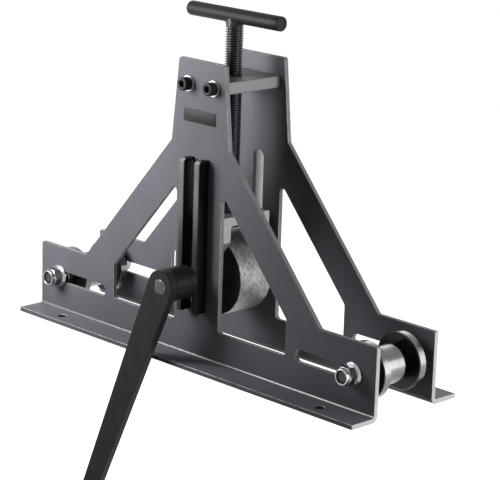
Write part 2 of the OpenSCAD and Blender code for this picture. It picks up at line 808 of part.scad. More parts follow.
module left_roller_bolt() { roller_bolt(-roller_x); }
module left_roller_nut() { roller_nut(-roller_x); }
module left_front_spacer() { roller_spacer(-roller_x); }
module left_rear_spacer() { mirror([0, 1, 0]) roller_spacer(-roller_x); }
module left_roller_sleeve() { roller_sleeve(-roller_x); }
module left_flanged_roller() { flanged_roller(-roller_x); }
module left_rear_flange() { rear_flange(-roller_x); }
module right_roller_bolt() { roller_bolt(roller_x); }
module right_roller_nut() { roller_nut(roller_x); }
module right_front_spacer() { roller_spacer(roller_x); }
module right_rear_spacer() { mirror([0, 1, 0]) roller_spacer(roller_x); }
module right_roller_sleeve() { roller_sleeve(roller_x); }
module right_flanged_roller() { flanged_roller(roller_x); }
module right_rear_flange() { rear_flange(roller_x); }

front_side_plate();
rear_side_plate();
front_left_guide_bar();
front_right_guide_bar();
rear_left_guide_bar();
rear_right_guide_bar();
cross_block();
front_cap_screws();
rear_cap_screws();
front_cap_washers();
rear_cap_washers();
yoke();
front_yoke_bush();
rear_yoke_bush();
thrust_collar();
jack_screw();
t_handle_bar();
retaining_collar();
retaining_pin();
drive_axle();
drive_drum();
drum_key();
front_spacer_ring();
rear_spacer_ring();
front_axle_washer();
rear_axle_washer();
rear_axle_collar();
set_screws();
crank_hub();
crank_lever();
grip_bolt();
grip_nut();
crank_grip();
left_roller_bolt();
left_roller_nut();
left_front_spacer();
left_rear_spacer();
left_roller_sleeve();
left_flanged_roller();
left_rear_flange();
right_roller_bolt();
right_roller_nut();
right_front_spacer();
right_rear_spacer();
right_roller_sleeve();
right_flanged_roller();
right_rear_flange();
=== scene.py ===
"""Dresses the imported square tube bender: its finishes, turned and threaded pieces, camera and light.

Every length is in metres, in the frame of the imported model: X runs along the side plates, Y from
the crank side at the front (negative) to the rear, and Z up from the underside of the feet.
"""

import json
import logging
import math
from collections.abc import Callable, Sequence
from dataclasses import dataclass, replace
from enum import Enum, StrEnum
from typing import Any

import bmesh
import bpy
from mathutils import Matrix, Vector
from mathutils.geometry import tessellate_polygon

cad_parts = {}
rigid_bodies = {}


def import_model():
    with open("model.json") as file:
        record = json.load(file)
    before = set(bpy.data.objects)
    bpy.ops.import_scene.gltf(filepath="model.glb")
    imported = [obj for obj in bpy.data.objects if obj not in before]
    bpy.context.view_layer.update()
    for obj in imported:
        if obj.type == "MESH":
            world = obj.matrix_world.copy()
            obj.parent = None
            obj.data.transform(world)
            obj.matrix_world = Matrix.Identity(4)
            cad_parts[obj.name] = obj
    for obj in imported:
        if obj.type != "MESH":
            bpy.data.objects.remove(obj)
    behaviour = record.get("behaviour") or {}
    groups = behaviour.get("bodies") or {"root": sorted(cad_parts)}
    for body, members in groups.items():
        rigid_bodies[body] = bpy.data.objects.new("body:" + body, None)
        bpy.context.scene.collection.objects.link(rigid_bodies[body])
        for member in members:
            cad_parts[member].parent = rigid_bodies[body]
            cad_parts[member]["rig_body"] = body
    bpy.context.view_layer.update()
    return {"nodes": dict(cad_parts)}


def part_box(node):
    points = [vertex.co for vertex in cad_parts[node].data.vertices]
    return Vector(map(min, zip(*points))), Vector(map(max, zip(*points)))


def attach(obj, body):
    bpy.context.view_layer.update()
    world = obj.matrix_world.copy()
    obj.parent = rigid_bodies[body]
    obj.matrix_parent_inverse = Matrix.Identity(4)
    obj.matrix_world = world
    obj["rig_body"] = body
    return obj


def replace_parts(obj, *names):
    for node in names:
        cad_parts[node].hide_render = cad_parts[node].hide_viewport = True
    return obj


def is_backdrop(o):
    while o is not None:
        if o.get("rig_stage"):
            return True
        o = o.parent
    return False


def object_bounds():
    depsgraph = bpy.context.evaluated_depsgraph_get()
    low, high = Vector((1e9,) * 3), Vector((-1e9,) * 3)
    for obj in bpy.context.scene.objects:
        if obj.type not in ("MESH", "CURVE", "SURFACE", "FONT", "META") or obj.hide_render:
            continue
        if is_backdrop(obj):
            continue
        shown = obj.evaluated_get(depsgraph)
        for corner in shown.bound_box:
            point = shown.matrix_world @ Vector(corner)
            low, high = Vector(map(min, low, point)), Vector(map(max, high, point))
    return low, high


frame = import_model()

log = logging.getLogger("tube_bender")

Piece = bpy.types.Object
Material = bpy.types.Material
Socket = bpy.types.NodeSocket
Colour = tuple[float, float, float]
Point = tuple[float, float, float]
Station = tuple[float, float]
Outline = Station | Callable[[float], Station]

MM = 0.001
SHARP = math.radians(32)


class Axis(Enum):
    """Line about which a piece is turned, or along which it is laid."""

    X = 0
    Y = 1
    Z = 2


class Side(StrEnum):
    """End of the bender, as the nodes' names have it."""

    LEFT = "left"
    RIGHT = "right"


class Face(StrEnum):
    """Crank side or far side, as the nodes' names have it."""

    FRONT = "front"
    REAR = "rear"


class Ray(StrEnum):
    """Kind of ray, by its output on the Light Path node."""

    CAMERA = "Is Camera Ray"
    GLOSSY = "Is Glossy Ray"
    TRANSMISSION = "Is Transmission Ray"


class Joining(StrEnum):
    """How two colours are joined."""

    MIX = "MIX"
    MULTIPLY = "MULTIPLY"


# Shader nodes


class Signal:
    """One value that varies over a surface. Arithmetic on it adds Math nodes."""

    def __init__(self, graph: "Graph", socket: Socket) -> None:
        """Wraps an output socket of a graph."""
        self.graph = graph
        self.socket = socket

    def _maths(self, operation: str, *values: "Signal | float") -> "Signal":
        """Result of one Math node with these values in order."""
        made = self.graph.node("ShaderNodeMath", {"operation": operation}, dict(enumerate(values)))
        return Signal(self.graph, made.outputs[0])

    def __add__(self, other: "Signal | float") -> "Signal":
        """Sum."""
        return self._maths("ADD", self, other)

    __radd__ = __add__

    def __sub__(self, other: "Signal | float") -> "Signal":
        """Difference."""
        return self._maths("SUBTRACT", self, other)

    def __rsub__(self, other: float) -> "Signal":
        """Difference, with the number first."""
        return self._maths("SUBTRACT", other, self)

    def __mul__(self, other: "Signal | float") -> "Signal":
        """Product."""
        return self._maths("MULTIPLY", self, other)

    __rmul__ = __mul__

    def __truediv__(self, other: "Signal | float") -> "Signal":
        """Quotient."""
        return self._maths("DIVIDE", self, other)

    def __rtruediv__(self, other: float) -> "Signal":
        """Quotient, with the number first."""
        return self._maths("DIVIDE", other, self)

    def __pow__(self, power: "Signal | float") -> "Signal":
        """Power."""
        return self._maths("POWER", self, power)

    def __rpow__(self, base: float) -> "Signal":
        """Power, with the number as its base."""
        return self._maths("POWER", base, self)

    def __abs__(self) -> "Signal":
        """Size without its sign."""
        return self._maths("ABSOLUTE", self)

    def __gt__(self, level: float) -> "Signal":
        """1 where the value is above the level, or else 0."""
        return self._maths("GREATER_THAN", self, level)

    def __lt__(self, level: float) -> "Signal":
        """1 where the value is below the level, or else 0."""
        return self._maths("LESS_THAN", self, level)

    def rise(self, low: float, high: float, start: float = 0.0, end: float = 1.0) -> "Signal":
        """Maps a range smoothly to another and holds it outside.

        Args:
            low: Where the change begins.
            high: Where it ends.
            start: Result at and below low.
            end: Result at and above high.

        Returns:
            The result.
        """
        made = self.graph.node(
            "ShaderNodeMapRange", {"interpolation_type": "SMOOTHSTEP", "clamp": True},
            {"Value": self, "From Min": low, "From Max": high, "To Min": start, "To Max": end})
        return Signal(self.graph, made.outputs[0])


class Graph:
    """The nodes of one material or world."""

    def __init__(self, owner: Material | bpy.types.World) -> None:
        """Clears the nodes of a new owner.

        Args:
            owner: The material or world.
        """
        self.owner = owner
        owner.use_nodes = True
        self.tree = owner.node_tree
        self.tree.nodes.clear()
        self._coordinates: bpy.types.Node | None = None

    def node(
        self,
        kind: str,
        settings: dict[str, Any] | None = None,
        inputs: dict[str | int, Any] | None = None,
    ) -> bpy.types.Node:
        """Adds one node.

        Args:
            kind: The node's type.
            settings: The node's own settings, set before its sockets.
            inputs: Values, signals or sockets for its inputs, by name or number.

        Returns:
            The new node.
        """
        made = self.tree.nodes.new(kind)
        for key, value in (settings or {}).items():
            setattr(made, key, value)
        for key, value in (inputs or {}).items():
            socket = made.inputs[key]
            if isinstance(value, Signal):
                self.tree.links.new(value.socket, socket)
            elif isinstance(value, Socket):
                self.tree.links.new(value, socket)
            elif isinstance(value, tuple) and socket.type == "RGBA" and len(value) == 3:
                socket.default_value = (*value, 1.0)
            else:
                socket.default_value = value
        return made

    def coordinates(self) -> bpy.types.Node:
        """Gives the Texture Coordinate node, made once.

        Returns:
            The node.
        """
        if self._coordinates is None:
            self._coordinates = self.node("ShaderNodeTexCoord")
        return self._coordinates

    def place(self) -> tuple[Signal, Signal, Signal]:
        """X, Y and Z of the point on the piece, in metres."""
        return self.parts(self.coordinates().outputs["Object"])

    def facing(self) -> tuple[Signal, Signal, Signal]:
        """X, Y and Z of the surface's direction on the piece."""
        return self.parts(self.coordinates().outputs["Normal"])

    def parts(self, socket: Socket) -> tuple[Signal, Signal, Signal]:
        """The three parts of a vector."""
        made = self.node("ShaderNodeSeparateXYZ", {}, {0: socket})
        return tuple(Signal(self, made.outputs[i]) for i in range(3))

    def ray(self, kind: Ray) -> Signal:
        """1 on rays of a kind, or else 0."""
        return Signal(self, self.node("ShaderNodeLightPath").outputs[kind.value])

    def vector(self, x: Signal | float, y: Signal | float, z: Signal | float) -> Socket:
        """Vector with these three parts."""
        return self.node("ShaderNodeCombineXYZ", {}, {0: x, 1: y, 2: z}).outputs[0]

    def noise(
        self, scale: float, detail: float = 3.0, rough: float = 0.6,
        over: Socket | Point = (1, 1, 1),
    ) -> Signal:
        """Fractal noise about 0.5.

        Args:
            scale: Its scale, in cycles per metre.
            detail: Number of finer layers.
            rough: Strength of the finer layers.
            over: How much finer it runs along X, Y and Z, or the vector on which it is read.

        Returns:
            The noise.
        """
        if isinstance(over, tuple):
            points = self.coordinates().outputs["Object"]
            spread = self.node("ShaderNodeVectorMath", {"operation": "MULTIPLY"}, {0: points, 1: over})
            over = spread.outputs[0]
        inputs = {"Vector": over, "Scale": scale, "Detail": detail, "Roughness": rough}
        return Signal(self, self.node("ShaderNodeTexNoise", {}, inputs).outputs[0])

    def cells(self, scale: float) -> Signal:
        """Distance to the nearest of scattered points, with so many along a metre."""
        inputs = {"Vector": self.coordinates().outputs["Object"], "Scale": scale}
        return Signal(self, self.node("ShaderNodeTexVoronoi", {}, inputs).outputs["Distance"])

    def blend(
        self, share: Signal | float, first: Colour | Socket, second: Colour | Socket,
        joining: Joining = Joining.MIX,
    ) -> Socket:
        """Joins two colours, by the share of the second."""
        settings = {"data_type": "RGBA", "blend_type": joining.value}
        return self.node("ShaderNodeMix", settings, {0: share, 6: first, 7: second}).outputs[2]

    def tinted(self, colour: Colour | Socket, level: Signal) -> Socket:
        """Colour multiplied by a level."""
        return self.blend(1.0, colour, self.vector(level, level, level), Joining.MULTIPLY)

    def relief(self, height: Signal, depth: float, strength: float) -> Socket:
        """Bump from a height, of which 1 stands for the depth in metres."""
        inputs = {"Height": height, "Distance": depth, "Strength": strength}
        return self.node("ShaderNodeBump", {}, inputs).outputs[0]

    def finish(self, **sockets: Any) -> Material:
        """Adds the Principled shader and the output.

        Args:
            sockets: Values, signals or sockets by input name, with _ for a blank.

        Returns:
            The finished material.
        """
        inputs = {key.replace("_", " "): value for key, value in sockets.items()}
        shader = self.node("ShaderNodeBsdfPrincipled", {}, inputs)
        self.node("ShaderNodeOutputMaterial", {}, {"Surface": shader.outputs[0]})
        return self.owner


# Finishes


@dataclass(frozen=True)
class Finish:
    """What a surface is made of."""

    title: str
    tone: Colour
    rough: float
    slot: str

    def material(self) -> Material:
        """The finish as a material, made once."""
        known = bpy.data.materials.get(self.title)
        return known or self.lay(Graph(bpy.data.materials.new(self.title)))

    def lay(self, graph: Graph) -> Material:
        """Lays the finish's pattern and returns the finished material."""
        raise NotImplementedError

    def on(self, piece: Piece) -> Piece:
        """Puts the finish on a piece and reports it.

        Args:
            piece: A new piece or a CAD node.

        Returns:
            The same piece.
        """
        if not piece.data.materials:
            piece.data.materials.append(None)
        for layer in piece.material_slots:
            layer.material = self.material()
        log.info("%s dressed in %s", piece.name, self.title)
        return piece

    def dress(self, *nodes: str) -> None:
        """Puts the finish on CAD nodes."""
        for node in nodes:
            self.on(frame["nodes"][node])


@dataclass(frozen=True)
class PowderCoat(Finish):
    """Satin powder coat on laser-cut plate, rubbed thin along the broken edges, with painted light and shade
    in its colour: highlights on those edges, lighter cut walls, ends and foot tops, and dark foot holes.
    """

    # Tone of the bare steel on the rounded corners, which also serves as painted highlight.
    edge_tone: Colour = (0.48, 0.48, 0.49)
    # The cut walls are twice as light as the faces, in part as painted light on the walls that face the
    # lamps; the cut ends are lighter still, as painted light.
    wall_tone: Colour = (0.2, 0.2, 0.205)
    end_tone: Colour = (0.46, 0.46, 0.47)
    # Near-black tone painted into the bores of the foot holes: painted shade.
    bore_tone: Colour = (0.022, 0.022, 0.024)
    bend_y: float = 0.0
    bend_z: float = 0.0
    end_x: float = 0.0
    hole_x: float = 233 * MM
    hole_y: float = 72.5 * MM
    hole_r: float = 6.4 * MM
    rim: float = 1.5 * MM

    def lay(self, graph: Graph) -> Material:
        """Lays orange peel, faint clouding, coarser cut faces and rubbed corners, with painted highlights on
        the corners, painted light on the cut walls, ends and foot tops, and painted shade in the foot holes.

        Args:
            graph: The new material's nodes.

        Returns:
            The finished material.
        """
        x, y, z = graph.place()
        nx, ny, nz = graph.facing()
        peel = graph.noise(900, 2.0, 0.5)
        cloud = graph.noise(9, 3.0, 0.55)
        grit = graph.noise(2600, 1.0, 0.5)
        wear = graph.noise(60)
        streak = graph.noise(1.0, 2.0, over=graph.vector(x * 1700, y * 60, z * 1700))
        upright = z > self.bend_z
        foot = abs(y) > self.bend_y
        at_end = abs(x) > self.end_x - self.rim
        cut = upright * (1 - abs(ny).rise(0.25, 0.75)) + foot * (1 - abs(nz).rise(0.25, 0.75))
        corner = upright * self.between(ny) + foot * self.between(nz) + at_end * self.between(nx)
        # The rounded corners are blended towards bare steel, more where the wear noise is high: wear, and
        # painted highlights along the edges. up_edge_shade takes most of it off the upright's corners that
        # face up, as painted shade.
        up_edge_shade = 1 - nz.rise(0.2, 0.6) * upright * 0.85
        bare_with_painted_light = corner.rise(0.3, 0.7) * wear.rise(0.3, 0.6, 0.45, 1.0) * up_edge_shade
        away_x, away_y = abs(x) - self.hole_x, abs(y) - self.hole_y
        in_hole = (away_x * away_x + away_y * away_y) < self.hole_r ** 2
        # flank: the upright's cut walls, painted a lighter tone, in part as painted light.
        flank = cut * upright
        # bore: the foot holes' walls, which take the near-black tone as painted shade, and a rougher finish.
        bore = cut * foot * in_hole
        swept = (abs(y) < self.bend_y) * (z < self.bend_z) * self.between(nz) * (nz > 0.0)
        # ends: the plate's cut ends, painted lighter as painted light.
        ends = abs(nx).rise(0.7, 0.9) * at_end
        # The last term paints the tops of the feet a third lighter than the upright: painted light from
        # above.
        level = cloud.rise(0.3, 0.7, 0.93, 1.08) + grit * 0.10 - 0.05 + foot * nz.rise(0.6, 0.9) * 0.3
        sides = graph.blend(ends, graph.blend(flank, self.tone, self.wall_tone), self.end_tone)
        paint = graph.tinted(graph.blend(bore, sides, self.bore_tone), level)
        steel = graph.tinted(self.edge_tone, streak.rise(0.25, 0.75, 0.8, 1.1))
        height = peel * 0.6 + grit * 0.2 + streak * cut * 0.7
        return graph.finish(
            Base_Color=graph.blend(bare_with_painted_light, paint, steel),
            Roughness=peel.rise(0.3, 0.7, self.rough - 0.05, self.rough + 0.06) - bare_with_painted_light * 0.1 + bore * 0.45,
            Metallic=bare_with_painted_light * 0.3,
            Normal=graph.relief(height, 0.00006, 0.55),
            Specular_IOR_Level=0.08,
            Coat_Weight=swept,
            Coat_Roughness=0.3,
            Coat_IOR=1.8,
        )

    @staticmethod
    def between(part: Signal) -> Signal:
        """1 where a part of the surface's direction is neither 0 nor 1, as on a rounded edge."""
        size = abs(part)
        return size.rise(0.1, 0.35) * (1 - size.rise(0.85, 0.98))


@dataclass(frozen=True)
class BlackPaint(Finish):
    """Satin black on turned and flat steel, with a light brushing under it."""

    specular: float = 0.16
    grain: Point = (300, 300, 300)

    def lay(self, graph: Graph) -> Material:
        """Lays fine grain, dust-like flecks and rubbed high spots.

        Args:
            graph: The new material's nodes.

        Returns:
            The finished material.
        """
        fine = graph.noise(3.0, over=self.grain)
        soft = graph.noise(45)
        fleck = graph.cells(700)
        level = soft.rise(0.3, 0.7, 0.85, 1.18) + fleck.rise(0.06, 0.0, 0.0, 0.35)
        return graph.finish(
            Base_Color=graph.tinted(self.tone, level),
            Roughness=fine.rise(0.25, 0.75, self.rough - 0.07, self.rough + 0.07),
            Normal=graph.relief(fine, 0.00005, 0.5),
            Specular_IOR_Level=self.specular,
        )


@dataclass(frozen=True)
class GroundFace(Finish):
    """Black bar whose outer face is ground to the steel, where the crank's washer runs, and painted lighter
    towards its top and along its corners as painted light.
    """

    ground: Colour = (0.13, 0.13, 0.135)
    # Tone of the faces that look into the slot: near black on the front bars as painted shade, light grey on
    # the rear bars as painted light.
    inner: Colour = (0.008, 0.008, 0.009)
    reach: float = 0.0
    # Heights between which the ground face is painted lighter upwards, as painted light.
    worn_from: float = 0.135
    worn_to: float = 0.215

    def lay(self, graph: Graph) -> Material:
        """Lays vertical grinding lines on the faces square to Y, with painted light on them, and black on the
        rest, save for the faces in the slot, which take their own painted tone.

        Args:
            graph: The new material's nodes.

        Returns:
            The finished material.
        """
        x, _, z = graph.place()
        nx, ny, _ = graph.facing()
        face = abs(ny).rise(0.35, 0.85)
        # The ground face is painted darker towards the bottom, from 1.1 of its tone at the top to 0.22 below:
        # painted light and shade.
        painted_light_by_height = z.rise(self.worn_from, self.worn_to, 0.22, 1.1)
        rim = PowderCoat.between(ny)
        inward = abs(nx).rise(0.6, 0.9) * (abs(x) < self.reach)
        lines = graph.noise(1.0, over=(2600, 50, 26))
        soft = graph.noise(60)
        # (1 + rim) doubles the ground face's tone on its rounded corners: painted highlights.
        bare_with_painted_light = graph.tinted(self.ground, lines.rise(0.25, 0.75, 0.8, 1.2) * soft.rise(0.2, 0.8, 0.85, 1.1)
                            * painted_light_by_height * (1 + rim))
        black = graph.tinted(self.tone, soft.rise(0.3, 0.7, 0.8, 1.3))
        slot_face_painted_light = graph.tinted(self.inner, lines.rise(0.25, 0.75, 0.85, 1.15))
        return graph.finish(
            Base_Color=graph.blend(inward, graph.blend(face, black, bare_with_painted_light), slot_face_painted_light),
            Roughness=lines.rise(0.2, 0.8, self.rough - 0.06, self.rough + 0.06),
            Normal=graph.relief(lines, 0.00005, 0.5),
            Specular_IOR_Level=0.10,
        )


@dataclass(frozen=True)
class TurnedSteel(Finish):
    """Lathe-turned steel: fine rings about a line along Y, each face with its own tone."""

    face_tone: Colour = (0.4, 0.4, 0.41)
    metallic: float = 0.9
    rings: float = 2300.0
    cut_depth: float = 0.00005
    hatch: float = 0.0
    centre: Station = (0.0, 0.0)

    def about(self, node: str) -> "TurnedSteel":
        """The same finish, turned about a CAD node's own line."""
        middle = span(node)[2]
        return replace(self, title=f"{self.title}.{node}", centre=(middle.x, middle.z))

    def lay(self, graph: Graph) -> Material:
        """Lays the tool's rings round the rim and on the faces.

        Args:
            graph: The new material's nodes.

        Returns:
            The finished material.
        """
        x, y, z = graph.place()
        _, ny, _ = graph.facing()
        u = x - self.centre[0]
        w = z - self.centre[1]
        radius = (u * u + w * w + 1e-9) ** 0.5
        face = abs(ny).rise(0.5, 0.85)
        across = face * radius + (1 - face) * y
        round_x = u / radius
        round_z = w / radius
        fine_rings = graph.vector(round_x * 2.2, round_z * 2.2, across * self.rings)
        wide_rings = graph.vector(round_x * 0.8, round_z * 0.8, across * self.rings / 6)
        ring = graph.noise(1.0, 3.0, 0.65, fine_rings)
        coarse = graph.noise(1.0, 2.0, 0.5, wide_rings)
        stain = graph.noise(55)
        rising = graph.noise(1.0, 2.0, over=graph.vector((y + z) * 620, (y - z) * 50, x * 50))
        falling = graph.noise(1.0, 2.0, over=graph.vector((y - z) * 620, (y + z) * 50, x * 50))
        scored = 1 - (rising.rise(0.45, 0.6) + falling.rise(0.45, 0.6)) * self.hatch
        level = (ring.rise(0.2, 0.8, 0.80, 1.15) * coarse.rise(0.2, 0.8, 0.88, 1.08)
                 * stain.rise(0.25, 0.75, 0.9, 1.06) * scored)
        return graph.finish(
            Base_Color=graph.tinted(graph.blend(face, self.tone, self.face_tone), level),
            Roughness=ring.rise(0.2, 0.8, self.rough - 0.08, self.rough + 0.08),
            Metallic=self.metallic * (1 - face * 0.3),
            Normal=graph.relief(ring + coarse, self.cut_depth, 0.6),
        )


@dataclass(frozen=True)
class Plating(Finish):
    """Bright zinc plating, slightly clouded."""

    metallic: float = 1.0

    def lay(self, graph: Graph) -> Material:
        """Lays clouding, fine crystals and small handling marks.

        Args:
            graph: The new material's nodes.

        Returns:
            The finished material.
        """
        cloud = graph.noise(160, 4.0, 0.6)
        fine = graph.noise(1800, 2.0, 0.6)
        marks = graph.cells(420)
        level = cloud.rise(0.3, 0.7, 0.82, 1.08) - marks.rise(0.10, 0.0, 0.0, 0.22)
        return graph.finish(
            Base_Color=graph.tinted(self.tone, level),
            Roughness=fine.rise(0.3, 0.7, self.rough - 0.05, self.rough + 0.09),
            Metallic=self.metallic,
            Normal=graph.relief(fine + cloud, 0.00004, 0.4),
        )


@dataclass(frozen=True)
class MilledSteel(Finish):
    """Milled or sawn steel with straight tool lines and a thin dull skin."""

    lines: Point = (40, 40, 1800)
    metallic: float = 0.5
    depth: float = 0.00006

    def lay(self, graph: Graph) -> Material:
        """Lays tool lines, a mottled skin and pitting.

        Args:
            graph: The new material's nodes.

        Returns:
            The finished material.
        """
        tool = graph.noise(1.0, over=self.lines)
        skin = graph.noise(130, 4.0, 0.6)
        pits = graph.cells(900)
        level = tool.rise(0.2, 0.8, 0.82, 1.14) * skin.rise(0.25, 0.75, 0.85, 1.1)
        return graph.finish(
            Base_Color=graph.tinted(self.tone, level - pits.rise(0.12, 0.0, 0.0, 0.2)),
            Roughness=skin.rise(0.25, 0.75, self.rough - 0.07, self.rough + 0.07),
            Metallic=self.metallic,
            Normal=graph.relief(tool + skin * 0.5 - pits.rise(0.12, 0.0), self.depth, 0.6),
        )


@dataclass(frozen=True)
class Moulded(Finish):
    """Moulded rubber: matt, finely grained, a little grey where hands rub it."""

    def lay(self, graph: Graph) -> Material:
        """Lays the mould's grain and a dusty bloom.

        Args:
            graph: The new material's nodes.

        Returns:
            The finished material.
        """
        grain = graph.noise(1400, 2.0, 0.6)
        bloom = graph.noise(70)
        return graph.finish(
            Base_Color=graph.tinted(self.tone, bloom.rise(0.3, 0.7, 0.8, 1.35)),
            Roughness=grain.rise(0.3, 0.7, self.rough - 0.05, self.rough + 0.08),
            Normal=graph.relief(grain, 0.00012, 0.7),
            Specular_IOR_Level=0.3,
        )


# Shapes


def span(node: str) -> tuple[Vector, Vector, Vector]:
    """Measures a CAD node.

    Args:
        node: The node.

    Returns:
        Its lowest corner, highest corner and middle.
    """
    low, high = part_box(node)
    return low, high, (low + high) / 2


def turns(count: int) -> list[float]:
    """Divides a full turn.

    Args:
        count: Number of steps.

    Returns:
        The angle at the start of each step.
    """
    return [2 * math.pi * step / count for step in range(count)]


def bands(rows: int, steps: int, loop: bool = False) -> list[Sequence[int]]:
    """Faces between rings of points that follow one another.

    Args:
        rows: Number of rings.
        steps: Number of points in a ring.
        loop: Whether the last ring joins the first.

    Returns:
        The faces.
    """
    corners = ((0, 0), (0, 1), (1, 1), (1, 0))
    return [
        [(row + up) % rows * steps + (step + on) % steps for up, on in corners]
        for row in range(rows if loop else rows - 1) for step in range(steps)
    ]


def rounded(end: float, radius: float, corner: float, steps: int) -> list[Station]:
    """Quarter round between a flat end and the full radius.

    Args:
        end: Where the flat end lies.
        radius: The full radius.
        corner: Radius of the round, below zero where the piece lies below its end.
        steps: Number of stations.

    Returns:
        The stations, from the end inwards.
    """
    leans = [math.radians(90 * step / steps) for step in range(1, steps + 1)]
    return [(end + corner * (1 - math.cos(t)), radius - abs(corner) * (1 - math.sin(t))) for t in leans]


def flats(along: float, across: float) -> Outline:
    """Station on a hexagon, given by the size across its flats.

    Args:
        along: Where it lies.
        across: Size across flats.

    Returns:
        The outline.
    """
    share = 2 * math.pi / 6

    def ring(turn: float) -> Station:
        """Radius of the polygon at an angle."""
        lean = (turn + share / 2) % share - share / 2
        return along, across / 2 / math.cos(lean)

    return ring


def chamfered_flats(along: float, across: float, face: float, fall: float) -> Outline:
    """Edge at which a hexagon's sides meet the cone that bevels its end.

    Args:
        along: Where the flat end lies.
        across: Size across flats.
        face: Radius of the flat end.
        fall: How far the cone falls along the axis for each unit of radius.

    Returns:
        The outline.
    """
    side = flats(along, across)

    def ring(turn: float) -> Station:
        """Point of the cone above a side."""
        radius = side(turn)[1]
        return along + (radius - face) * fall, radius

    return ring


def fluted(along: float, radius: float, depth: float, count: int) -> Outline:
    """Station with shallow flutes.

    Args:
        along: Where it lies.
        radius: Radius at the crests.
        depth: Depth of a flute.
        count: Number of flutes.

    Returns:
        The outline.
    """
    return lambda turn: (along, radius - depth * (0.5 + 0.5 * math.cos(turn * count)) ** 2)


def place(name: str, vertices: Sequence[Sequence[float]], faces: Sequence[Sequence[int]], body: str) -> Piece:
    """Makes a piece from points and faces, in the model's frame, and lets it ride on a body.

    Args:
        name: The piece's name.
        vertices: Its points.
        faces: Its faces.
        body: The CAD body that it moves with.

    Returns:
        The piece.
    """
    mesh = bpy.data.meshes.new(name)
    mesh.from_pydata([tuple(v) for v in vertices], [], [tuple(f) for f in faces])
    work = bmesh.new()
    work.from_mesh(mesh)
    bmesh.ops.remove_doubles(work, verts=work.verts, dist=1e-7)
    bmesh.ops.recalc_face_normals(work, faces=work.faces)
    work.to_mesh(mesh)
    work.free()
    mesh.shade_smooth()
    mesh.set_sharp_from_angle(angle=SHARP)
    piece = bpy.data.objects.new(name, mesh)
    bpy.context.scene.collection.objects.link(piece)
    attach(piece, body)
    return piece


def turned(
    name: str, body: str, axis: Axis, centre: Vector, outlines: Sequence[Outline],
    closed: bool = False, segments: int = 96,
) -> Piece:
    """Turns outlines about a line through a centre.

    Args:
        name: The piece's name.
        body: The CAD body that it moves with.
        axis: The line's direction.
        centre: A point of the line. Stations count along the axis from the frame's origin.
        outlines: The stations in order.
        closed: Whether the last station joins the first, as on a ring.
        segments: Number of steps round the line.

    Returns:
        The piece.
    """
    first, second = {Axis.X: (1, 2), Axis.Y: (2, 0), Axis.Z: (0, 1)}[axis]
    points: list[list[float]] = []
    for outline in outlines:
        for turn in turns(segments):
            along, radius = outline(turn) if callable(outline) else outline
            point = [0.0, 0.0, 0.0]
            point[axis.value] = along
            point[first] = centre[first] + radius * math.cos(turn)
            point[second] = centre[second] + radius * math.sin(turn)
            points.append(point)
    return place(name, points, bands(len(outlines), segments, closed), body)


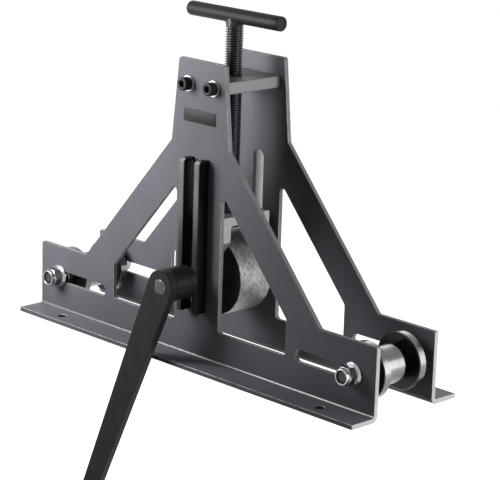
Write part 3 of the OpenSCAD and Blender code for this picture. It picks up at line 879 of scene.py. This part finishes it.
class EdgeBreaker:
    """Copies a CAD node with a small rounded edge wherever two of its surfaces meet sharply."""

    ROUNDING = 0.6

    def __init__(self, node: str, width: float) -> None:
        """Reads the node's mesh and parts its surfaces.

        Args:
            node: The CAD node.
            width: How far the rounding reaches into each surface.
        """
        self.node = node
        self.width = width
        self.work = bmesh.new()
        self.work.from_mesh(frame["nodes"][node].data)
        bmesh.ops.remove_doubles(self.work, verts=self.work.verts, dist=2e-6)
        bmesh.ops.dissolve_degenerate(self.work, edges=self.work.edges, dist=1e-6)
        self.work.normal_update()
        self.surface = self._spread(SHARP)
        self.points: list[Vector] = []
        self.normals: list[Vector] = []
        self.index: dict[tuple[int, int], int] = {}
        self.ridge: dict[int, int] = {}

    def _spread(self, limit: float) -> dict[int, int]:
        """Numbers the groups of faces that join at angles below a limit.

        Args:
            limit: The angle.

        Returns:
            Each face's group.
        """
        group: dict[int, int] = {}
        for seed in self.work.faces:
            if seed.index in group:
                continue
            group[seed.index] = seed.index
            queue = [seed]
            while queue:
                face = queue.pop()
                for edge in face.edges:
                    if len(edge.link_faces) == 2 and edge.calc_face_angle() < limit:
                        for other in edge.link_faces:
                            if other.index not in group:
                                group[other.index] = seed.index
                                queue.append(other)
        return group

    def _rim(self, edge: bmesh.types.BMEdge) -> bool:
        """Whether the edge parts two surfaces."""
        return len({self.surface[face.index] for face in edge.link_faces}) > 1

    def _add(self, point: Vector, normal: Vector) -> int:
        """Adds a point with its normal.

        Args:
            point: The point.
            normal: Its normal, of any length.

        Returns:
            The point's number.
        """
        self.points.append(point)
        self.normals.append(normal.normalized())
        return len(self.points) - 1

    def _split(self) -> None:
        """Gives each surface its own point at each corner, drawn in from its rim."""
        for vertex in self.work.verts:
            by_surface: dict[int, list[bmesh.types.BMFace]] = {}
            for face in vertex.link_faces:
                by_surface.setdefault(self.surface[face.index], []).append(face)
            draws, leans = [], []
            for surface, faces in by_surface.items():
                lean = sum((face.normal * face.calc_area() for face in faces), Vector()).normalized()
                inward = []
                for face in faces:
                    for loop in face.loops:
                        if vertex in loop.edge.verts and self._rim(loop.edge):
                            along = loop.link_loop_next.vert.co - loop.vert.co
                            inward.append(face.normal.cross(along).normalized())
                draw = Vector()
                if inward:
                    total = sum(inward, Vector())
                    draw = total * (self.width / max(total.dot(inward[0]), 0.4))
                self.index[vertex.index, surface] = self._add(vertex.co + draw, lean)
                draws.append(draw)
                leans.append(lean)
            if len(by_surface) > 1:
                middle = sum(draws, Vector()) * (self.ROUNDING / len(draws))
                self.ridge[vertex.index] = self._add(vertex.co + middle, sum(leans, Vector()))

    def _flats(self) -> list[tuple[int, ...]]:
        """Meshes each flat anew from its drawn-in rim, and keeps the faces of curved surfaces.

        Returns:
            The faces.
        """
        made: list[tuple[int, ...]] = []
        groups: dict[int, list[bmesh.types.BMFace]] = {}
        flat = self._spread(math.radians(0.05))
        for face in self.work.faces:
            groups.setdefault(flat[face.index], []).append(face)
        for faces in groups.values():
            surface = self.surface[faces[0].index]
            inside = {face.index for face in faces}
            follow = {
                loop.vert.index: loop.link_loop_next.vert.index for face in faces for loop in face.loops
                if not all(other.index in inside for other in loop.edge.link_faces)
            }
            if len(faces) < 3 or len(follow) != len(set(follow.values())):
                made += [tuple(self.index[v.index, surface] for v in face.verts) for face in faces]
                continue
            rings = []
            while follow:
                start, step = follow.popitem()
                ring = [start]
                while step != start:
                    ring.append(step)
                    step = follow.pop(step)
                rings.append([self.index[v, surface] for v in ring])
            flat_points = [i for ring in rings for i in ring]
            for corners in tessellate_polygon([[self.points[i] for i in ring] for ring in rings]):
                a, b, c = (flat_points[i] for i in corners)
                turn = (self.points[b] - self.points[a]).cross(self.points[c] - self.points[a])
                made.append((a, b, c) if turn.dot(faces[0].normal) > 0 else (a, c, b))
        return made

    def _ridges(self) -> list[tuple[int, ...]]:
        """Lays the rounded edges, two faces across each.

        Returns:
            The faces.
        """
        made = []
        for face in self.work.faces:
            surface = self.surface[face.index]
            for loop in face.loops:
                if self._rim(loop.edge):
                    a, b = loop.vert.index, loop.link_loop_next.vert.index
                    inner = self.index[b, surface], self.index[a, surface]
                    made.append((*inner, self.ridge[a], self.ridge[b]))
        return made

    def piece(self, body: str) -> Piece:
        """Makes the piece that stands for the node.

        Args:
            body: The CAD body that it rides on.

        Returns:
            The piece.
        """
        self.work.faces.index_update()
        self.work.verts.index_update()
        self._split()
        mesh = bpy.data.meshes.new(f"{self.node}.dressed")
        mesh.from_pydata(self.points, [], self._flats() + self._ridges())
        mesh.shade_smooth()
        mesh.normals_split_custom_set_from_vertices(self.normals)
        self.work.free()
        piece = bpy.data.objects.new(mesh.name, mesh)
        bpy.context.scene.collection.objects.link(piece)
        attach(piece, body)
        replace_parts(piece, self.node)
        return piece


def eased(node: str, width: float) -> Piece:
    """Makes the piece that stands for a CAD node, with its sharp edges broken.

    Args:
        node: The CAD node.
        width: How far the rounding reaches into each surface.

    Returns:
        The piece, riding on the node's own body.
    """
    return EdgeBreaker(node, width).piece(frame["nodes"][node]["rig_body"])


# Sub-assemblies

SLATE = (0.103, 0.103, 0.118)
ZINC = Plating("bright_zinc_plating", (0.37, 0.375, 0.385), 0.24, "bright_zinc")
OXIDE = BlackPaint("black_oxide_skin", (0.008, 0.008, 0.009), 0.42, "black_oxide", 0.16)
SATIN_BLACK = BlackPaint("satin_black_paint", (0.012, 0.012, 0.013), 0.40, "black_paint", 0.22)
HANDLE_BLACK = BlackPaint("handle_black_paint", (0.008, 0.008, 0.009), 0.46, "black_paint", 0.11)


@dataclass
class SidePlates:
    """The two bent plates with their windows, slots and feet."""

    edge: float = 0.7 * MM
    bend: float = 3.2 * MM
    sheet: float = 6 * MM
    blank_width: float = 56 * MM
    blank_height: float = 16 * MM
    blank_depth: float = 0.6 * MM
    blank_corner: float = 1.5 * MM
    blank_bevel: float = 0.4 * MM
    blank_centre: Station = (-1.2 * MM, 305 * MM)

    def build(self) -> None:
        """Builds and dresses both plates, and the blank plate on the front neck."""
        low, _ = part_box("front_side_plate")
        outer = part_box("front_cap_washers")[1].y
        coat = PowderCoat("slate_powder_coat", SLATE, 0.46, "plate_paint",
                          bend_y=-outer + self.bend, bend_z=self.sheet + self.bend, end_x=-low.x)
        for face in Face:
            coat.on(eased(f"{face}_side_plate", self.edge))
        self.blank_plate(outer)

    def blank_plate(self, face: float) -> None:
        """Lays the small blank plate on the front neck.

        Args:
            face: Y of the neck's outer face.
        """
        x, z = self.blank_centre
        half_w, half_h, corner = self.blank_width / 2, self.blank_height / 2, self.blank_corner
        ring = []
        for cx, cz, start in ((1, 1, 0), (-1, 1, 90), (-1, -1, 180), (1, -1, 270)):
            for step in range(7):
                turn = math.radians(start + 15 * step)
                ring.append((cx * (half_w - corner) + corner * math.cos(turn),
                             cz * (half_h - corner) + corner * math.sin(turn)))
        front = face - self.blank_depth
        rims = ((face, 0.0), (face - self.blank_depth * 0.6, 0.0), (front, self.blank_bevel))
        points = [(x + px * (1 - inset / half_w), y, z + pz * (1 - inset / half_h))
                  for y, inset in rims for px, pz in ring]
        count = len(ring)
        faces = [*bands(len(rims), count), [2 * count + i for i in range(count)]]
        piece = place("blank_neck_plate", points, faces, "frame")
        skin = BlackPaint("blank_plate_skin", (0.017, 0.014, 0.014), 0.45, "black_oxide", 0.12, (900, 60, 60))
        skin.on(piece)


@dataclass
class GuideBars:
    """The four bars beside the central slots."""

    edge: float = 0.3 * MM
    inner_skin: float = 1 * MM

    def build(self) -> None:
        """Dresses the bars."""
        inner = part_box("front_right_guide_bar")[0].x + self.inner_skin
        front = GroundFace("front_bar_shaded_skin", (0.006, 0.006, 0.007), 0.40, "black_paint", reach=inner)
        # The rear bars' copy paints the faces in the slot light grey, as painted light; the front bars' keeps
        # them black, as painted shade.
        rear = replace(front, title="rear_bar_lit_skin", inner=(0.55, 0.55, 0.56))
        for side in Side:
            for face, finish in ((Face.FRONT, front), (Face.REAR, rear)):
                finish.on(eased(f"{face}_{side}_guide_bar", self.edge))


@dataclass
class CrossBlock:
    """The block between the necks, with its cap screws and washers."""

    edge: float = 0.3 * MM
    head_radius: float = 8 * MM
    head_height: float = 10 * MM
    head_edge: float = 0.3 * MM
    socket: float = 8 * MM
    shank: float = 5 * MM
    shank_length: float = 26 * MM
    shank_point: float = 2 * MM
    knurls: int = 40
    knurl_depth: float = 0.3 * MM

    def build(self) -> None:
        """Builds and dresses the block, its screws and washers."""
        steel = MilledSteel("mill_finished_block", (0.12, 0.12, 0.127), 0.46, "block_steel",
                            (30, 1500, 1500), 0.35)
        steel.on(eased("cross_block", self.edge))
        for face, sign in ((Face.FRONT, -1), (Face.REAR, 1)):
            low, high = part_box(f"{face}_cap_screws")
            outer = low.y if face is Face.FRONT else high.y
            middle = (low.z + high.z) / 2
            for side, x in ((Side.LEFT, low.x + self.head_radius), (Side.RIGHT, high.x - self.head_radius)):
                head = self.cap_head(f"{face}_{side}_cap_head", Vector((x, 0, middle)), outer, -sign)
                OXIDE.on(head)
                if side is Side.LEFT:
                    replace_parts(head, f"{face}_cap_screws")
            ZINC.dress(f"{face}_cap_washers")

    def cap_head(self, name: str, centre: Vector, face: float, inward: float) -> Piece:
        """Builds a knurled socket head and the shank behind it.

        Args:
            name: The piece's name.
            centre: The screw's line.
            face: Y of the head's outer face.
            inward: Direction along Y into the plate.

        Returns:
            The head.
        """
        def deep(depth: float) -> float:
            """Y at a depth below the head's outer face."""
            return face + inward * depth

        r, h, edge, dent = self.head_radius, self.head_height, self.head_edge, self.knurl_depth
        outlines: list[Outline] = [
            (deep(h / 2), 0.0), (deep(h / 2), 1.5 * MM), flats(deep(h / 2 - 0.6 * MM), self.socket),
            flats(deep(0.35 * MM), self.socket), (face, self.socket / 2 * 1.22), (face, r - 0.9 * MM),
            (deep(edge), r - 0.35 * MM), (deep(0.8 * MM), r), fluted(deep(1.2 * MM), r, dent, self.knurls),
            fluted(deep(h * 0.72), r, dent, self.knurls), (deep(h * 0.78), r), (deep(h - edge), r),
            (deep(h), r - edge), (deep(h), self.shank), (deep(h + self.shank_length), self.shank),
            (deep(h + self.shank_length + self.shank_point), 0.0),
        ]
        return turned(name, "frame", Axis.Y, centre, outlines, segments=240)


@dataclass
class JackScrew:
    """The feed screw with its T handle, and the collars at its foot."""

    radius: float = 11 * MM
    root: float = 8.5 * MM
    pitch: float = 3 * MM
    steps: int = 32
    journal: float = 8 * MM
    seat: float = 0.4 * MM
    weld_height: float = 4 * MM
    weld_spread: float = 6.5 * MM
    weld_root: float = 10.4 * MM
    handle_dome: float = 5 * MM
    groove_place: float = 8.4 * MM

    def build(self) -> None:
        """Builds and dresses the screw, the handle and the collars."""
        paint = BlackPaint("black_thread", (0.006, 0.006, 0.007), 0.34, "black_paint", 0.22, (60, 60, 900))
        paint.on(self.thread())
        SATIN_BLACK.on(self.foot())
        SATIN_BLACK.on(self.weld())
        HANDLE_BLACK.on(self.handle())
        collar = TurnedSteel("thrust_collar_skin", (0.03, 0.03, 0.032), 0.36, "black_oxide",
                             (0.04, 0.04, 0.042), metallic=0.3)
        collar.dress("thrust_collar")
        # The retaining collar is zinc, as its slot says, but takes the near-black oxide tone: painted shade
        # where it sits under the yoke's arch.
        replace(OXIDE, title="retaining_collar_painted_shade", slot="bright_zinc").dress("retaining_collar")
        ZINC.dress("retaining_pin")

    def thread(self) -> Piece:
        """Winds the thread from the collar to the weld.

        Returns:
            The thread.
        """
        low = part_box("thrust_collar")[0].z + self.seat
        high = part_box("t_handle_bar")[0].z - self.weld_height + 2 * MM
        profile = ((0.0, 0.0), (0.28, 0.0), (0.44, 1.0), (0.62, 1.0), (0.78, 0.0))
        columns = len(profile)
        rows = (math.ceil((high - low) / self.pitch) + 1) * self.steps
        points, faces = [], []
        for row in range(rows + self.steps):
            turn = 2 * math.pi * row / self.steps
            for share, crest in profile:
                z = low + self.pitch * (row / self.steps - 1 + share)
                fade = min(1.0, max(0.0, (high - z) / self.pitch), max(0.0, (z - low) / self.pitch))
                radius = self.root + (self.radius - self.root) * crest * fade
                points.append((radius * math.cos(turn), radius * math.sin(turn), min(max(z, low), high)))
        for row in range(rows):
            for column in range(columns):
                here = row * columns + column
                above = here + 1 if column + 1 < columns else (row + self.steps) * columns
                if above // columns + 1 < rows + self.steps:
                    faces.append((here, here + columns, above + columns, above))
        return place("jack_screw_thread", points, faces, "screw_unit")

    def foot(self) -> Piece:
        """Turns the plain journal below the thread.

        Returns:
            The journal.
        """
        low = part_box("jack_screw")[0].z
        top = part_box("thrust_collar")[0].z + self.seat
        r, stub = self.journal, top + 6 * MM
        outlines = [(low, 0.0), (low, r - MM), (low + MM, r), (top, r), (top, self.root), (stub, self.root),
                    (stub, 0.0)]
        piece = turned("jack_screw_journal", "screw_unit", Axis.Z, Vector((0, 0, 0)), outlines)
        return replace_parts(piece, "jack_screw")

    def weld(self) -> Piece:
        """Lays the weld that flares from the screw to the handle's bar.

        Returns:
            The weld.
        """
        low, high, middle = span("t_handle_bar")
        bar = (high.z - low.z) / 2
        start = low.z - self.weld_height
        rows, segments = 14, 96
        points = []
        for row in range(rows + 1):
            s = row / rows
            for turn in turns(segments):
                c, d = math.cos(turn), math.sin(turn)
                ripple = 0.08 * MM * math.sin(turn * 13 + row * 0.7) * math.sin(math.pi * min(1.0, s * 1.2))
                lean = 1.0 if c < 0 else 0.4
                x = (self.weld_root + self.weld_spread * lean * abs(c) * s ** 1.5 + ripple) * c
                y = self.weld_root * (1 - 0.22 * s ** 2) * d
                top = middle.z - max(bar * bar - y * y, 0.0) ** 0.5 + 0.8 * MM
                points.append((x, y, start + (top - start) * s))
        return place("handle_weld", points, bands(rows + 1, segments), "screw_unit")

    def handle(self) -> Piece:
        """Turns the T handle's bar, domed at its left end and faced at its right.

        Returns:
            The handle.
        """
        low, high, centre = span("t_handle_bar")
        r, end = (high.z - low.z) / 2, high.x
        groove = end - self.groove_place
        outlines = [
            (low.x, 0.0), *rounded(low.x, r, self.handle_dome, 8),
            (groove, r), (groove + 0.3 * MM, r - 0.25 * MM), (groove + 0.6 * MM, r),
            (end - 0.9 * MM, r), (end - 0.3 * MM, r - 0.3 * MM), (end, r - 0.9 * MM), (end, 0.0),
        ]
        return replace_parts(turned("t_handle", "screw_unit", Axis.X, centre, outlines), "t_handle_bar")


@dataclass
class Yoke:
    """The yoke that carries the drum, with its bushes."""

    edge: float = 0.5 * MM

    def build(self) -> None:
        """Dresses the yoke and its bushes."""
        skin = MilledSteel("ground_yoke", (0.29, 0.29, 0.295), 0.46, "yoke_steel",
                           (900, 900, 300), 0.5, 0.0004)
        skin.on(eased("yoke", self.edge))
        bronze = MilledSteel("bearing_bronze", (0.42, 0.24, 0.09), 0.38, "bush_bronze", (300, 1500, 300), 0.9)
        bronze.dress("front_yoke_bush", "rear_yoke_bush")


@dataclass
class Drive:
    """The axle with its drum, rings, washers and collar."""

    drum_radius: float = 50 * MM
    rim: float = 1 * MM

    def build(self) -> None:
        """Builds the drum and dresses what turns with the axle."""
        # The drum's end faces are painted about ten times darker than its tread, as painted shade.
        bright = TurnedSteel("brushed_drum", (0.31, 0.30, 0.305), 0.42, "drum_steel",
                             (0.03, 0.03, 0.032), metallic=0.7, rings=2600, cut_depth=0.00010, hatch=0.34)
        bright.about("drive_drum").on(self.drum())
        plain = TurnedSteel("plain_turned", (0.5, 0.5, 0.51), 0.34, "turned_steel", (0.35, 0.35, 0.36))
        plain.about("drive_axle").dress("drive_axle", "front_spacer_ring", "rear_spacer_ring", "drum_key")
        SATIN_BLACK.dress("front_axle_washer", "rear_axle_washer")
        ZINC.dress("rear_axle_collar")
        OXIDE.dress("set_screws")

    def drum(self) -> Piece:
        """Turns the drum about the axle.

        Returns:
            The drum.
        """
        low, high, centre = span("drive_drum")
        axle_low, axle_high, _ = span("drive_axle")
        bore = (axle_high.x - axle_low.x) / 2
        r, rim = self.drum_radius, self.rim
        outlines = [(low.y, bore), (low.y, r - rim), *rounded(low.y, r, rim, 3),
                    *reversed(rounded(high.y, r, -rim, 3)), (high.y, r - rim), (high.y, bore)]
        piece = turned("brushed_drive_drum", "crank_unit", Axis.Y, centre, outlines, True, 192)
        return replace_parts(piece, "drive_drum")


@dataclass
class Crank:
    """The hub, the lever and the grip that turns on its bolt."""

    edge: float = 0.6 * MM
    ribs: int = 24
    rib_depth: float = 0.7 * MM
    plain_end: float = 6 * MM
    grip_corner: float = 3 * MM
    grip_bore: float = 6.2 * MM
    well: float = 9.3 * MM
    well_depth: float = 7.5 * MM
    swell: float = 1.5 * MM
    end_patch: float = 8.4 * MM
    end_rise: float = 0.5 * MM

    def build(self) -> None:
        """Builds the grip and the axle's rough end, and dresses the hub and lever."""
        BlackPaint("hub_black", (0.010, 0.009, 0.009), 0.44, "black_paint", 0.12).dress("crank_hub")
        lever = BlackPaint("lever_paint_skin", (0.024, 0.021, 0.022), 0.52, "lever_paint", 0.10)
        lever.on(eased("crank_lever", self.edge))
        self.axle_end()
        ZINC.dress("grip_bolt", "grip_nut")
        Moulded("grip_rubber_skin", (0.018, 0.018, 0.019), 0.62, "grip_rubber").on(self.grip())

    def axle_end(self) -> None:
        """Lays the rough, slightly square end of the axle on the lever's face."""
        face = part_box("drive_axle")[0].y
        centre = span("drive_drum")[2]
        rows, segments = 5, 72
        points = []
        for row in range(rows + 1):
            s = row / rows
            for turn in turns(segments):
                square = (abs(math.cos(turn)) ** 5 + abs(math.sin(turn)) ** 5) ** (-1 / 5)
                rough = 1 + 0.03 * math.sin(turn * 7 + 1.3) + 0.02 * math.sin(turn * 11)
                radius = self.end_patch * s * square * rough
                y = face - self.end_rise * (1 - s ** 6) - 0.04 * MM * math.sin(turn * 5 + row) * s * (1 - s)
                points.append((centre.x + radius * math.cos(turn), y, centre.z + radius * math.sin(turn)))
        piece = place("rough_axle_end", points, bands(rows + 1, segments), "crank_unit")
        steel = MilledSteel("rough_end_skin", (0.085, 0.082, 0.08), 0.45, "turned_steel",
                            (500, 100, 500), 0.3, 0.0003)
        steel.on(piece)

    def grip(self) -> Piece:
        """Turns the ribbed grip with its sunk outer end.

        Returns:
            The grip.
        """
        low, high, centre = span("crank_grip")
        ends, corner, well = (high.x - low.x) / 2 - self.swell, self.grip_corner, self.well
        length = high.y - low.y
        outlines: list[Outline] = [(high.y, self.grip_bore), (high.y, ends - corner)]
        rows = 40
        for row in range(rows + 1):
            s = row / rows
            from_end = min(s, 1 - s) * length
            short = max(corner - from_end, 0.0)
            radius = ends - corner + (corner ** 2 - short ** 2) ** 0.5 + self.swell * math.sin(math.pi * s)
            depth = self.rib_depth * min(1.0, max(0.0, (from_end - self.plain_end) / (4 * MM)))
            outlines.append(fluted(high.y - length * s, radius, depth, self.ribs))
        floor = low.y + self.well_depth
        outlines += [(low.y, ends - corner), (low.y, well + 0.5 * MM), (low.y + 0.5 * MM, well),
                     (floor, well), (floor, self.grip_bore)]
        piece = turned("ribbed_grip", "grip_unit", Axis.Y, centre, outlines, True, 240)
        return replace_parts(piece, "crank_grip")


@dataclass
class Rollers:
    """The two flanged rollers with their bolts, nuts and spacers."""

    across: float = 21 * MM
    bolt: float = 7 * MM
    flange: float = 14.5 * MM
    flange_depth: float = 3.5 * MM
    hexagon: float = 11 * MM
    collar: float = 10.3 * MM
    tip: float = 6 * MM
    bevel: float = 0.58

    def build(self) -> None:
        """Builds and dresses both rollers."""
        # The rollers' faces are painted darker than their treads, as painted shade.
        bright = TurnedSteel("roller_steel", (0.16, 0.16, 0.165), 0.24, "turned_steel",
                             (0.025, 0.025, 0.028), cut_depth=0.00004)
        for side in Side:
            for node in (f"{side}_flanged_roller", f"{side}_rear_flange"):
                bright.about(node).dress(node)
            OXIDE.dress(f"{side}_roller_sleeve")
            ZINC.dress(f"{side}_front_spacer", f"{side}_rear_spacer")
            ZINC.on(self.nut(side))
            ZINC.on(self.bolt_with_head(side))

    def flanged_hexagon(self, seat: float, away: int, end: float, face: float) -> list[Outline]:
        """Stations of a flange and its hexagon, from the plate outwards.

        Args:
            seat: Where the flange meets the plate.
            away: 1 or -1, the direction from the plate along Y.
            end: Where the hexagon ends.
            face: Radius of its flat end.

        Returns:
            The stations.
        """
        corner = seat + away * self.flange_depth
        return [
            (seat, self.bolt), (seat, self.flange - 0.6 * MM), (seat + away * 0.4 * MM, self.flange),
            (seat + away * 1.2 * MM, self.flange), (corner - away * 0.2 * MM, self.across / 2 * 1.16),
            flats(corner, self.across), chamfered_flats(end, self.across, face, -away * self.bevel),
            (end, face),
        ]

    def nut(self, side: Side) -> Piece:
        """Builds a locking flange nut with its insert.

        Args:
            side: The end at which it sits.

        Returns:
            The nut.
        """
        low, high, centre = span(f"{side}_roller_nut")
        end, body = low.y, f"{side}_carriage"
        hex_end = high.y - self.flange_depth - self.hexagon
        crimp = ((1.6, 0.985), (0.5, 0.95), (0.1, 0.90), (0.0, 0.85), (0.1, 0.80), (0.5, 0.76), (3.2, 0.74))
        outlines = [
            *self.flanged_hexagon(high.y, -1, hex_end, self.across / 2 * 0.98),
            (hex_end - 0.2 * MM, self.collar * crimp[0][1]),
            *((end + depth * MM, self.collar * share) for depth, share in crimp),
            (end + crimp[-1][0] * MM, self.bolt),
        ]
        insert = turned(f"{side}_locking_insert", body, Axis.Y, centre, [
            (end + 0.9 * MM, self.bolt + 0.15 * MM), (end + 0.7 * MM, self.bolt + 0.5 * MM),
            (end + 1.0 * MM, self.collar * 0.74), (end + 3.1 * MM, self.collar * 0.74),
            (end + 3.1 * MM, self.bolt + 0.15 * MM)], True)
        Moulded("nylon_insert", (0.012, 0.013, 0.02), 0.45, "bright_zinc").on(insert)
        piece = turned(f"{side}_locking_nut", body, Axis.Y, centre, outlines, True)
        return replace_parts(piece, f"{side}_roller_nut")

    def bolt_with_head(self, side: Side) -> Piece:
        """Builds a roller bolt with its flanged hexagon head at the rear.

        Args:
            side: The end at which it sits.

        Returns:
            The bolt.
        """
        low, high, centre = span(f"{side}_roller_bolt")
        front, rear, body, half = low.y, high.y, f"{side}_carriage", self.across / 2
        seat = -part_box(f"{side}_roller_nut")[1].y
        outlines = [
            (front + self.tip, 0.0), (front + self.tip, self.bolt),
            *self.flanged_hexagon(seat, 1, rear, half * 0.95),
            (rear, half * 0.55), (rear - 0.5 * MM, half * 0.5), (rear - 0.5 * MM, 0.0),
        ]
        tip = turned(f"{side}_bolt_tip", body, Axis.Y, centre, [
            (front + 0.3 * MM, 0.0), (front + 0.3 * MM, 2.2 * MM), (front, 2.6 * MM),
            (front, self.bolt - 1.2 * MM), (front + 1.1 * MM, self.bolt - 0.1 * MM),
            (front + self.tip, self.bolt)])
        MilledSteel("bolt_tip_steel", (0.05, 0.05, 0.052), 0.5, "bright_zinc", (900, 300, 900), 0.5).on(tip)
        piece = turned(f"{side}_flanged_bolt", body, Axis.Y, centre, outlines)
        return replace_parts(piece, f"{side}_roller_bolt")


# Studio


@dataclass(frozen=True)
class Lamp:
    """A soft rectangular lamp."""

    name: str
    spot: Point
    aim: Point
    width: float
    height: float
    power: float
    spread: float

    def hang(self) -> None:
        """Hangs the lamp and turns it to its aim."""
        light = bpy.data.lights.new(self.name, "AREA")
        light.shape = "RECTANGLE"
        light.size = self.width
        light.size_y = self.height
        light.energy = self.power
        light.spread = math.radians(self.spread)
        lamp = bpy.data.objects.new(self.name, light)
        lamp.location = self.spot
        lamp.rotation_euler = (Vector(self.aim) - Vector(self.spot)).to_track_quat("-Z", "Y").to_euler()
        bpy.context.scene.collection.objects.link(lamp)


@dataclass
class Studio:
    """Camera, lamps, floor and the white surroundings."""

    fill: float = 0.09
    floor_gap: float = 64 * MM
    floor_span: float = 6.0
    lens: float = 152.198
    eye: Point = (1.813657, -1.749994, 0.802659)
    right: Point = (0.69590985, 0.71750494, 0.02993567)
    up: Point = (-0.20136597, 0.15495268, 0.9671822)
    back: Point = (0.6893194, -0.67909964, 0.25231418)
    lamps: tuple[Lamp, ...] = (
        Lamp("key", (-0.44, -0.48, 0.52), (-0.40, -0.053, 0.48), 0.50, 0.50, 9.4, 130),
        Lamp("right_edge", (1.48, 0.6, 0.28), (0.0, 0.0, 0.2), 1.2, 1.0, 22.0, 180),
        Lamp("rear_soft", (-0.8, 1.9, 0.9), (0.0, 0.0, 0.15), 1.2, 1.2, 9.0, 180),
    )

    def camera(self) -> None:
        """Sets the camera of the photograph."""
        data = bpy.data.cameras.new("photo_camera")
        data.sensor_width = 36.0
        data.lens = self.lens
        data.clip_end = 50
        camera = bpy.data.objects.new("photo_camera", data)
        turn = Matrix((self.right, self.up, self.back)).transposed().to_4x4()
        camera.matrix_world = Matrix.Translation(self.eye) @ turn
        bpy.context.scene.collection.objects.link(camera)
        bpy.context.scene.camera = camera

    def surroundings(self) -> None:
        """Makes a world that looks white and lights the object softly."""
        world = bpy.data.worlds.new("white_studio")
        bpy.context.scene.world = world
        graph = Graph(world)
        seen = graph.ray(Ray.CAMERA) + graph.ray(Ray.GLOSSY) + graph.ray(Ray.TRANSMISSION)
        shader = graph.node(
            "ShaderNodeBackground", {}, {"Color": (1, 1, 1), "Strength": seen.rise(0.0, 1.0, self.fill, 1.0)}
        )
        graph.node("ShaderNodeOutputWorld", {}, {"Surface": shader.outputs[0]})

    def floor(self) -> None:
        """Lays a pale floor that keeps the object's shadow."""
        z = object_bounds()[0][2] - self.floor_gap
        mesh = bpy.data.meshes.new("floor")
        reach = self.floor_span
        corners = [(-reach, -reach, z), (reach, -reach, z), (reach, reach, z), (-reach, reach, z)]
        mesh.from_pydata(corners, [], [(0, 1, 2, 3)])
        plane = bpy.data.objects.new("floor", mesh)
        bpy.context.scene.collection.objects.link(plane)
        graph = Graph(bpy.data.materials.new("pale_floor"))
        seen = graph.ray(Ray.CAMERA) + graph.ray(Ray.GLOSSY)
        glow = seen * graph.noise(3, 2.0, 0.5).rise(0.3, 0.7, 0.92, 0.96)
        shader = graph.node("ShaderNodeBsdfDiffuse", {}, {"Color": (0.80, 0.80, 0.80)})
        light = graph.node("ShaderNodeEmission", {}, {"Color": (1.0, 1.0, 1.0), "Strength": glow})
        both = graph.node("ShaderNodeAddShader", {}, {0: shader.outputs[0], 1: light.outputs[0]})
        graph.node("ShaderNodeOutputMaterial", {}, {"Surface": both.outputs[0]})
        mesh.materials.append(graph.owner)
        plane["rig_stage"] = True

    def build(self) -> None:
        """Sets up the camera, lamps, surroundings and floor."""
        self.camera()
        self.surroundings()
        self.floor()
        for lamp in self.lamps:
            lamp.hang()
        bpy.context.scene.view_settings.view_transform = "Standard"


def main() -> None:
    """Builds every sub-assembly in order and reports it."""
    logging.basicConfig(level=logging.INFO, format="%(name)s: %(message)s")
    for part in (Studio, SidePlates, GuideBars, CrossBlock, JackScrew, Yoke, Drive, Crank, Rollers):
        part().build()
        log.info("%s built", part.__name__)
    bpy.context.view_layer.update()


if __name__ == "__main__":
    main()
